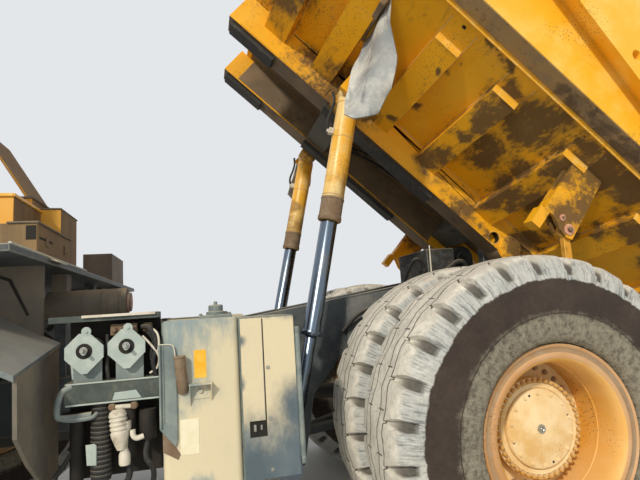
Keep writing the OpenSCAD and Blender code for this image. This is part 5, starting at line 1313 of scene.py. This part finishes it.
print("frame details")
lines = [pipe(path, 40, radius, 12) for path, radius in (
    ([(0.30, 0.70, 1.98), (0.113, 0.70, 2.110), (-0.118, 0.70, 2.165), (-0.27, 0.70, 2.255),
    (-0.35, 0.69, 2.235), (-0.38, 0.65, 2.14), (-0.38, 0.60, 2.08)], 0.020),
    ([(0.40, 0.66, 1.90), (0.20, 0.66, 2.04), (-0.05, 0.66, 2.110), (-0.22, 0.66, 2.150),
    (-0.29, 0.655, 2.13), (-0.31, 0.64, 2.06), (-0.31, 0.60, 2.02)], 0.015),
    ([(0.05, 0.14, 2.05), (0.03, 0.24, 2.20), (-0.02, 0.325, 2.32), (-0.09, 0.33, 2.30),
    (-0.13, 0.30, 2.18), (-0.12, 0.20, 2.08)], 0.017),
    ([(0.85, 0.62, 1.70), (0.70, 0.66, 1.84), (0.45, 0.64, 1.92), (0.25, 0.62, 1.99)], 0.017))]
makePiece("frameHoses", moved(join(*lines), axle), "chassis", hoseRubber, "rubber_pad")
makePiece("frameWhip", moved(rodShape((-0.02, 0.66, 2.10), (-0.025, 0.66, 2.42), 0.006, 10), axle),
    "chassis", whitePaint, "frame_paint")

# Painted shade with brown dust for the deck boxes' rear walls
wallShadeAndDust = weatheredPaint("machine enamel under brown dust", "#80694a", fade=("#9a7f55", 0.7, 350),
    grime=("#453a2e", 0.3), dots=("#4a3322", 0.2), dust=("#8a7a61", 0.5), streaks=0.4, rough=0.75)
mudguardTop = weatheredPaint("mudguard plate, scraped", "#68747c", fade=("#87908f", 0.7, 160),
    grime=("#5b6068", 0.2, 90), dots=("#4a3322", 0.1), dust=("#a7a396",), rough=0.45)
mudguardFlap = weatheredPaint("flap rubber, dusty brown", "#6b675e", fade=("#857d6e", 0.8, 300),
    grime=("#45413a", 0.3), dots=("#4a3322", 0.1), dust=("#938874", 0.5), rough=0.8)
sidePanel = weatheredPaint("side panel, brown dust over grey", "#6a6359", fade=("#7c7263", 0.8, 320),
    grime=("#3b352d", 0.3), dots=("#4a3322", 0.2), dust=("#8c8069", 0.5), streaks=0.3, rough=0.7)


# The mudguard's plate: its low inner corner, its two slopes, where the flap ends and the plate begins
guard = {"corner": (2.86, 1.45, 1.81), "riseDeg": 29.5, "fallDeg": 8, "flapTo": 2.8725, "from": 2.859,
    "beyond": 1.4805, "within": 0.06}


def guardFinish(centres, normals):
    # Scraped sloping plate, rubber flap, and a dusty web
    p = centres - axle
    x, y, z = guard["corner"]
    pick = np.full(len(p), 2)
    pick[p[:, 0] < guard["flapTo"]] = 1
    rise, fall = math.tan(math.radians(guard["riseDeg"])), math.tan(math.radians(guard["fallDeg"]))
    slope = z + (p[:, 0] - x) * rise - (np.abs(p[:, 1]) - y) * fall
    onPlate = (p[:, 0] >= guard["from"]) & (np.abs(p[:, 1]) > guard["beyond"])
    pick[onPlate & (np.abs(p[:, 2] - slope) < guard["within"])] = 0
    return pick


def boxFinish(centres, normals):
    # The tank under the deck is grey; the boxes above it are yellow, with painted shade and brown dust on
    # their rear walls and on the outward faces of the outermost boxes
    p = centres - axle
    low = (p[:, 2] < 2.28) | (p[:, 1] < -1.0)
    brown = (normals[:, 0] < -0.7) | ((p[:, 1] > 1.55) & (normals[:, 1] > 0.7))
    return np.where(low, 1, np.where(brown, 2, 0))


dress("mudguards", (mudguardTop, mudguardFlap, sidePanel), 0.005, guardFinish)
dress("deck_boxes", (machineEnamel, sidePanel, wallShadeAndDust), 0.007, boxFinish)
tankBands = join(*(turnedOn(bandProfile(0.105, x, 0.0035, 0.014, 0.002), (0, 0.85, 2.05), (1, 0, 0), 48)
    for x in (2.60, 2.72, 2.84)))
flankPiece("airTankSeams", tankBands, sidePanel, "body_paint")
flankPiece("airTankEnd", turnedOn([(0.071, 2.560), (0.071, 2.548), (0.066, 2.536), (0.030, 2.5315),
    (0, 2.531)], (0, 0.85, 2.05), (1, 0, 0), 40), weatheredPaint("tank end, pink primer", "#b78d7d",
    fade=("#c9a795", 0.6, 60), dots=("#4a3322", 0.2), dust=("#a7947a", 0.4), rough=0.6),
    "body_paint")
# Slot in the mudguard web drawn as a dark sheet of painted shade
flankPiece("webSlot", sheet([(3.19, 2.232), (3.12, 2.205), (3.02, 1.985), (3.035, 1.982), (3.135, 2.19),
    (3.20, 2.218)], 1.4795, 1.4825, 0.0005), paintedShadeVoid, "frame_paint")
flankPiece("deckEdge", join(pipe([(2.905, 2.14, 2.322), (2.902, 1.7, 2.321), (2.905, 1.45, 2.322),
    (2.901, 1.3, 2.320), (2.903, 0.6, 2.321)], 30, 0.008, 8),
    sheet([(2.905, 2.321), (2.862, 2.300), (2.858, 2.292), (2.905, 2.308)], 1.30, 1.52, 0.001)), doorRim,
    "frame_paint")
# Box ribs in enamel lightened as a painted highlight
boxRibs = boxes([((3.296, 1.500, 2.330), (3.310, 1.512, 2.712)),
    ((3.11, 1.500, 2.702), (3.60, 1.514, 2.722)), ((3.100, 0.90, 2.702), (3.112, 1.51, 2.722))], 0.003)
flankPiece("boxRibs", boxRibs, edgeHighlightEnamel, "body_paint")
flankPiece("boxLids", boxes([((3.14, 0.49, 2.795), (3.61, 1.06, 2.812)),
    ((2.94, 0.86, 2.516), (3.11, 1.61, 2.530)), ((2.975, 0.55, 2.726), (3.145, 1.01, 2.738))], 0.004),
    sidePanel, "body_paint")
hinges = [((3.20, 1.500, 2.44), (3.23, 1.516, 2.50)), ((3.48, 1.500, 2.44), (3.51, 1.516, 2.50)),
    ((2.942, 1.0, 2.40), (2.951, 1.04, 2.46)), ((2.942, 1.4, 2.40), (2.951, 1.44, 2.46))]
# Gaps between the deck boxes drawn as dark sheets of painted shade
flankPiece("boxGap", boxes([((2.955, 1.598, 2.42), (3.01, 1.6015, 2.505)),
    ((2.948, 1.30, 2.43), (2.9505, 1.56, 2.445))], 0.001), paintedShadeVoid, "body_paint")
flankPiece("boxLatches", boxes(hinges, 0.003), claySteel, "body_paint")

print("cab and front")
deckTop, cabOut, cabIn = 2.32, 1.92, 0.52
gasket = weatheredPaint("window gasket, weathered rubber", "#1f2021", fade=("#36352f", 0.6, 120),
    dots=("#4a3322", 0.05), dust=("#8d846f", 0.25), rough=0.7)
mirrorGlass = polishedSteel("mirror, silvered", "#c3ccd4", 0.06, 0.3)


def windowFrame(low, high, normalAxis, depth, width=0.030):
    # Four bars round a rectangle that lies across the axis, its inner edge on the opening
    a, b = [k for k in range(3) if k != normalAxis]
    rows = []
    for k in (a, b):
        for edge, sign in ((low[k], -1), (high[k], 1)):
            lo, hi = list(low), list(high)
            lo[k], hi[k] = sorted((edge, edge + sign * width))
            if k == b:
                lo[a], hi[a] = low[a] - width, high[a] + width
            lo[normalAxis], hi[normalAxis] = depth
            rows.append((tuple(lo), tuple(hi)))
    return boxes(rows, 0.004)


doorPane = boxOf("cab_door_glass")
x0, x1 = doorPane[0][0] - axle[0], doorPane[1][0] - axle[0]
z0, z1 = doorPane[0][2], doorPane[1][2]
flankPiece("doorGasket", windowFrame((x0 + 0.004, cabOut, z0 + 0.004), (x1 - 0.004, cabOut, z1 - 0.004), 1,
    (cabOut - 0.024, cabOut + 0.008)), gasket, "rubber_pad", "cab_door")
doorX = (3.83, 4.63)
handle = join(boxes([((doorX[1] - 0.20, cabOut, 2.86), (doorX[1] - 0.06, cabOut + 0.012, 2.94))], 0.003),
    pipe([(doorX[1] - 0.18, cabOut + 0.008, 2.90), (doorX[1] - 0.17, cabOut + 0.045, 2.90),
    (doorX[1] - 0.09, cabOut + 0.045, 2.90), (doorX[1] - 0.08, cabOut + 0.008, 2.90)], 16, 0.009, 10),
    pipe([(doorX[0] + 0.10, cabOut + 0.003, 2.62), (doorX[0] + 0.10, cabOut + 0.04, 2.64),
    (doorX[0] + 0.10, cabOut + 0.04, 2.96), (doorX[0] + 0.10, cabOut + 0.003, 2.98)], 16, 0.011, 10))
flankPiece("doorHandle", handle, claySteel, "cab_trim", "cab_door")
panel = roundRect((doorX[0] + 0.06, doorX[1] - 0.06), (2.48, 2.98), 0.05)
flankPiece("doorPanel", sheet(panel, cabOut - 0.002, cabOut + 0.0035, 0.002), machineEnamel, "body_paint",
    "cab_door")
sideX, sideZ, farX = (4.76, 5.08), (3.08, 3.86), ((3.83, 4.45), (4.53, 5.08))
seals = [windowFrame((sideX[0], cabOut, sideZ[0]), (sideX[1], cabOut, sideZ[1]), 1,
    (cabOut - 0.02, cabOut + 0.009), 0.028), windowFrame((3.65, cabIn + 0.17, sideZ[0]),
    (3.65, cabOut - 0.17, sideZ[1]), 0, (3.642, 3.672), 0.028)]
seals += [windowFrame((a, cabIn, sideZ[0]), (b, cabIn, sideZ[1]), 1, (cabIn - 0.009, cabIn + 0.02), 0.028)
    for a, b in farX]
flankPiece("cabGaskets", join(*seals), gasket, "rubber_pad")
gutter = boxes([((3.70, cabOut - 0.004, 3.955), (5.10, cabOut + 0.022, 3.972)),
    ((3.70, cabIn - 0.022, 3.955), (5.10, cabIn + 0.004, 3.972)),
    ((3.95, 0.80, 4.026), (3.98, 1.64, 4.040)), ((4.35, 0.80, 4.026), (4.38, 1.64, 4.040)),
    ((4.75, 0.80, 4.026), (4.78, 1.64, 4.040))], 0.004)
flankPiece("cabGutters", gutter, machineEnamel, "body_paint")
cabSeams = [((3.66, cabOut - 0.001, 2.985), (3.81, cabOut + 0.002, 2.997)),
    ((4.66, cabOut - 0.001, 2.985), (5.25, cabOut + 0.002, 2.997)),
    ((4.665, cabOut - 0.001, 2.36), (4.673, cabOut + 0.002, 3.93))]
flankPiece("cabSeams", join(boxes(cabSeams, 0.001),
    bolts([(x, cabOut, 2.36) for x in np.arange(3.70, 5.2, 0.15)], (0, 1, 0), 0.009, 0.008),
    bolts([(x, cabIn, 2.36) for x in np.arange(3.70, 5.2, 0.15)], (0, -1, 0), 0.009, 0.008)), machineEdge,
    "body_paint")
screenFoot, screenTop = np.array([5.30, 0, 2.94]), np.array([5.12, 0, 3.97])
slopeUp = (screenTop - screenFoot) / np.linalg.norm(screenTop - screenFoot)
slopeOut = np.array([slopeUp[2], 0, -slopeUp[0]])


def onScreen(y, up, out):
    # A place on the windscreen from its side, its height up the slope and its distance out
    return screenFoot + np.array([0, y, 0]) + up * slopeUp + out * slopeOut


frameBars = [(0.59, 1.85, 0.040), (0.59, 1.85, 0.960)]
screenSeal = [rodShape(onScreen(a, up, 0.004), onScreen(b, up, 0.004), 0.014, 10) for a, b, up in frameBars]
screenSeal += [rodShape(onScreen(y, 0.04, 0.004), onScreen(y, 0.96, 0.004), 0.014, 10)
    for y in (0.597, 1.843)]
flankPiece("screenGasket", join(*screenSeal), gasket, "rubber_pad")
wipers = []
for y in (0.95, 1.50):
    arm = tube([onScreen(y, -0.02, 0.005), onScreen(y, 0.02, 0.035), onScreen(y + 0.10, 0.30, 0.034),
        onScreen(y + 0.14, 0.42, 0.026)], 0.007, 8)
    blade = rodShape(onScreen(y + 0.02, 0.20, 0.014), onScreen(y + 0.26, 0.66, 0.014), 0.008, 8)
    wipers += [arm, blade, domes([onScreen(y, -0.02, 0.0)], slopeOut, 0.022, 0.020, 14)]
flankPiece("wipers", join(*wipers), gasket, "rubber_pad")

# Lozenges of the tread plate, turned each way in turn
pitch, lozenge = 0.085, (0.034, 0.008, 0.004)
rows = []
keepOut = [(3.50, 5.60, -0.50, 1.99), (4.50, 5.42, -1.95, -0.86), (2.94, 3.66, 0.46, 1.64),
    (2.98, 3.34, -1.94, -1.06), (5.50, 6.00, -0.92, 0.92)]
for i, x in enumerate(np.arange(2.96, 6.02, pitch)):
    for j, y in enumerate(np.arange(-2.10, 2.12, pitch)):
        if any(a < x < b and c < y < d for a, b, c, d in keepOut):
            continue
        long, wide, high = lozenge if (i + j) % 2 else (lozenge[1], lozenge[0], lozenge[2])
        rows.append(((x - long / 2, y - wide / 2, deckTop - 0.001),
            (x + long / 2, y + wide / 2, deckTop + high)))
flankPiece("treadPlate", boxes(rows, 0.002), frameEdge, "frame_paint")

frontX = 6.20
bezel = turnedOn([(0.094, -0.004), (0.094, 0.004), (0.098, 0.008), (0.112, 0.006), (0.116, 0.0)],
    (frontX, 1.18, 1.13), (1, 0, 0), 48)
flankPiece("lampBezels", bothSides(bezel), moulding, "rubber_pad")
bumperBolts = bolts([(frontX, y, z) for y in (-1.38, -0.85, -0.30, 0.30, 0.85, 1.38) for z in (0.82, 1.32)],
    (1, 0, 0), 0.022, 0.018)
treads = boxes([((5.97, side * 1.6 - 0.16, 1.380), (6.05, side * 1.6 + 0.16, 1.386)) for side in (-1, 1)],
    0.002)
flankPiece("bumperTrim", join(bumperBolts, treads), frameEdge, "frame_paint")
guardBolts = bolts([(5.90, y, z) for y in (-0.80, 0.80) for z in np.arange(1.62, 2.88, 0.15)], (1, 0, 0),
    0.016, 0.014)
flankPiece("guardBolts", guardBolts, frameEdge, "frame_paint")
hoodTrim = join(boxes([((x, side * 0.481 - 0.003, 2.40), (x + 0.28, side * 0.481 + 0.003, 2.412))
    for side in (-1, 1) for x in (3.9, 4.3, 4.7, 5.1)], 0.001),
    boxes([((3.80 + 0.10 * k, -0.36, 2.649), (3.85 + 0.10 * k, 0.36, 2.656)) for k in range(8)], 0.003),
    boxes([((x, -0.42, 2.650), (x + 0.05, -0.37, 2.672)) for x in (4.9, 5.3)] +
    [((x, 0.37, 2.650), (x + 0.05, 0.42, 2.672)) for x in (4.9, 5.3)], 0.003))
flankPiece("hoodTrim", hoodTrim, machineEdge, "body_paint")
cleaner = [turnedOn(bandProfile(0.200, x, 0.005, 0.030, 0.004), (0, y, 2.98), (1, 0, 0), 56)
    for y in (-1.65, -1.15) for x in (4.76, 5.12)]
cleanerCaps = [turnedOn([(0.185, 5.270), (0.185, 5.292), (0.150, 5.300), (0.060, 5.302), (0.055, 5.312),
    (0, 5.312)], (0, y, 2.98), (1, 0, 0), 56) for y in (-1.65, -1.15)]
flankPiece("cleanerBands", join(*cleaner), claySteel, "body_paint")
flankPiece("cleanerCaps", join(*cleanerCaps), moulding, "rubber_pad")
mirror = boxOf("mirrors")
mx = mirror[0][0] - axle[0]
glassRows = [((mx - 0.003, side * 2.58 - 0.10, 2.96), (mx + 0.002, side * 2.58 + 0.10, 3.38))
    for side in (-1, 1)]
flankPiece("mirrorGlass", boxes(glassRows, 0.001), mirrorGlass, "window_glass")
railFeet = [(5.98, side * y, deckTop) for side in (-1, 1) for y in (0.92, 1.51, 2.10)]
railFeet += [(4.40 + k * 0.527, -2.10, deckTop) for k in range(3)] + [(5.34, 2.10, deckTop)]
feet = [boxes([((x - 0.045, y - 0.045, z), (x + 0.045, y + 0.045, z + 0.010))], 0.002)
    for x, y, z in railFeet]
footBolts = [(x + dx, y + dy, z + 0.010) for x, y, z in railFeet for dx in (-0.03, 0.03)
    for dy in (-0.03, 0.03)]
flankPiece("railFeet", join(*feet, bolts(footBolts, (0, 0, 1), 0.008, 0.008)), machineEdge, "body_paint")

print("far side and running gear")
fuel = boxOf("fuel_tank")
fx, fz = (fuel[0][0] - axle[0], fuel[1][0] - axle[0]), (fuel[0][2], fuel[1][2])
fuelCap = turnedOn([(0.085, -0.02), (0.085, 0.012), (0.070, 0.016), (0.070, 0.040), (0.062, 0.046),
    (0, 0.048)], (fx[0] + 0.22, -1.72, fz[1]), (0, 0, 1), 36)
straps = []
for x in (fx[0] + 0.32, fx[1] - 0.28):
    straps += [((x, -1.906, fz[0] - 0.004), (x + 0.06, -1.899, fz[1] + 0.004)),
        ((x, -1.90, fz[1] - 0.001), (x + 0.06, -1.10, fz[1] + 0.006)),
        ((x, -1.90, fz[0] - 0.006), (x + 0.06, -1.10, fz[0] + 0.001))]
flankPiece("fuelTrim", join(fuelCap, boxes(straps, 0.002),
    bolts([(x[0][0] + 0.03, -1.906, z) for x in straps[::3] for z in (fz[0] + 0.06, fz[1] - 0.06)],
    (0, -1, 0), 0.012, 0.010)), slatePaint)
gauge = boxes([((fx[1] - 0.12, -1.906, fz[0] + 0.30), (fx[1] - 0.06, -1.899, fz[1] - 0.25))], 0.003)
flankPiece("fuelGauge", gauge, zincSteel)
tieEnds = join(*(turnedOn([(0.038, 0), (0.042, 0.010), (0.030, 0.022), (0.012, 0.026), (0, 0.026)],
    (2.40 - axle[0], side * 1.17, 0.90), (0, 0, 1), 24) for side in (-1, 1)))
makePiece("tieRodEnds", moved(tieEnds, axle), "tie_rod", claySteel, "frame_paint")
strut = [turnedOn(bandProfile(0.128, z, 0.012, 0.050, 0.006), (4.30, 1.15, 0), (0, 0, 1), 48)
    for z in (1.86, 2.08)]
flankPiece("strutBands", bothSides(join(*strut)), frameEdge, "frame_paint")
railFace = 0.59
flankPiece("railBolts", bothSides(bolts([(x, railFace, z) for x in (2.36, 2.48, 2.60, 3.20, 3.32)
    for z in (1.30, 1.42)], (0, 1, 0), 0.018, 0.016)), frameEdge, "frame_paint")
gusset = sheet([(0.80, 1.975), (0.12, 2.070), (0.12, 1.80), (0.80, 1.60)], railFace - 0.001,
    railFace + 0.006, 0.002)
flankPiece("railGusset", bothSides(gusset), gussetPaint, "frame_paint")
tail = boxOf("tail_lamps")
tx = tail[0][0] - axle[0]
flankPiece("tailBezels", join(*(windowFrame((tx, side * 0.62 - 0.06, tail[0][2]),
    (tx, side * 0.62 + 0.06, tail[1][2]), 0, (tx + 0.006, tx + 0.03), 0.016) for side in (-1, 1))),
    moulding, "rubber_pad")

print("camera and light")
# The camera as solved from the photo: place in metres, angles in degrees
shot = {"place": (0.473, 4.676, 1.927), "yaw": 14.18, "pitch": 7.88, "roll": -3.71, "focalPx": 478.4,
    "widthPx": 640, "sensor": 36.0}
studio = {
    "floor": "#cfcdc8", "reach": 60, "skyLight": ("#eef2f6", 0.62), "skyShown": ("#e9ecef", 0.95),
    # Name, the way towards it, strength, width in degrees and colour
    "suns": [("sun", (0.476, 0.690, 0.545), 2.6, 4, "#fff3df"),
        ("fill", (-0.3, 0.9, -0.25), 0.45, 60, "#fff6e8")],
}


def makeCamera():
    # Yaw turns the view from -Y, pitch lifts it, and roll turns it about its own axis
    yaw, pitch, roll = (math.radians(shot[key]) for key in ("yaw", "pitch", "roll"))
    ahead = np.array([-math.sin(yaw) * math.cos(pitch), -math.cos(yaw) * math.cos(pitch), math.sin(pitch)])
    right = np.cross(ahead, (0, 0, 1))
    right /= np.linalg.norm(right)
    up = np.cross(right, ahead)
    across = math.cos(roll) * right + math.sin(roll) * up
    rise = -math.sin(roll) * right + math.cos(roll) * up
    data = bpy.data.cameras.new("camera")
    data.sensor_width = shot["sensor"]
    data.lens = shot["focalPx"] * shot["sensor"] / shot["widthPx"]
    data.clip_end = 400
    camera = bpy.data.objects.new("camera", data)
    scene.collection.objects.link(camera)
    matrix = np.eye(4)
    matrix[:3, :3] = np.stack([across, rise, -ahead], 1)
    matrix[:3, 3] = shot["place"]
    camera.matrix_world = Matrix(matrix.tolist())
    scene.camera = camera


def makeStage():
    # A pale floor that keeps the shadow, a pale sky for the camera and reflections, and one broad soft sun
    material, tree, shader = newMaterial("studio floor")
    shader.inputs["Base Color"].default_value = linearColour(studio["floor"])
    shader.inputs["Roughness"].default_value = 0.9
    mesh = bpy.data.meshes.new("floor")
    reach = studio["reach"]
    corners = [(-reach, -reach, 0), (reach, -reach, 0), (reach, reach, 0), (-reach, reach, 0)]
    mesh.from_pydata(corners, [], [(0, 1, 2, 3)])
    mesh.materials.append(material)
    floor = bpy.data.objects.new("floor", mesh)
    scene.collection.objects.link(floor)
    world = bpy.data.worlds.new("studio")
    scene.world = world
    world.use_nodes = True
    tree = world.node_tree
    tree.nodes.clear()
    path = addNode(tree, "LightPath")
    seen = most(tree, path.outputs["Is Camera Ray"], path.outputs["Is Transmission Ray"])
    seen = most(tree, seen, path.outputs["Is Glossy Ray"])
    skies = [addNode(tree, "Background", {"Color": linearColour(tint), "Strength": strength}).outputs[0]
        for tint, strength in (studio["skyLight"], studio["skyShown"])]
    mix = addNode(tree, "MixShader", {0: seen, 1: skies[0], 2: skies[1]}).outputs[0]
    addNode(tree, "OutputWorld", {0: mix})
    for name, direction, strength, angle, tint in studio["suns"]:
        data = bpy.data.lights.new(name, "SUN")
        data.energy = strength
        data.angle = math.radians(angle)
        data.color = linearColour(tint)[:3]
        lamp = bpy.data.objects.new(name, data)
        lamp.matrix_world = Matrix(axesTo(direction).tolist()).to_4x4()
        scene.collection.objects.link(lamp)


makeCamera()
makeStage()
scene.view_settings.view_transform = "Standard"
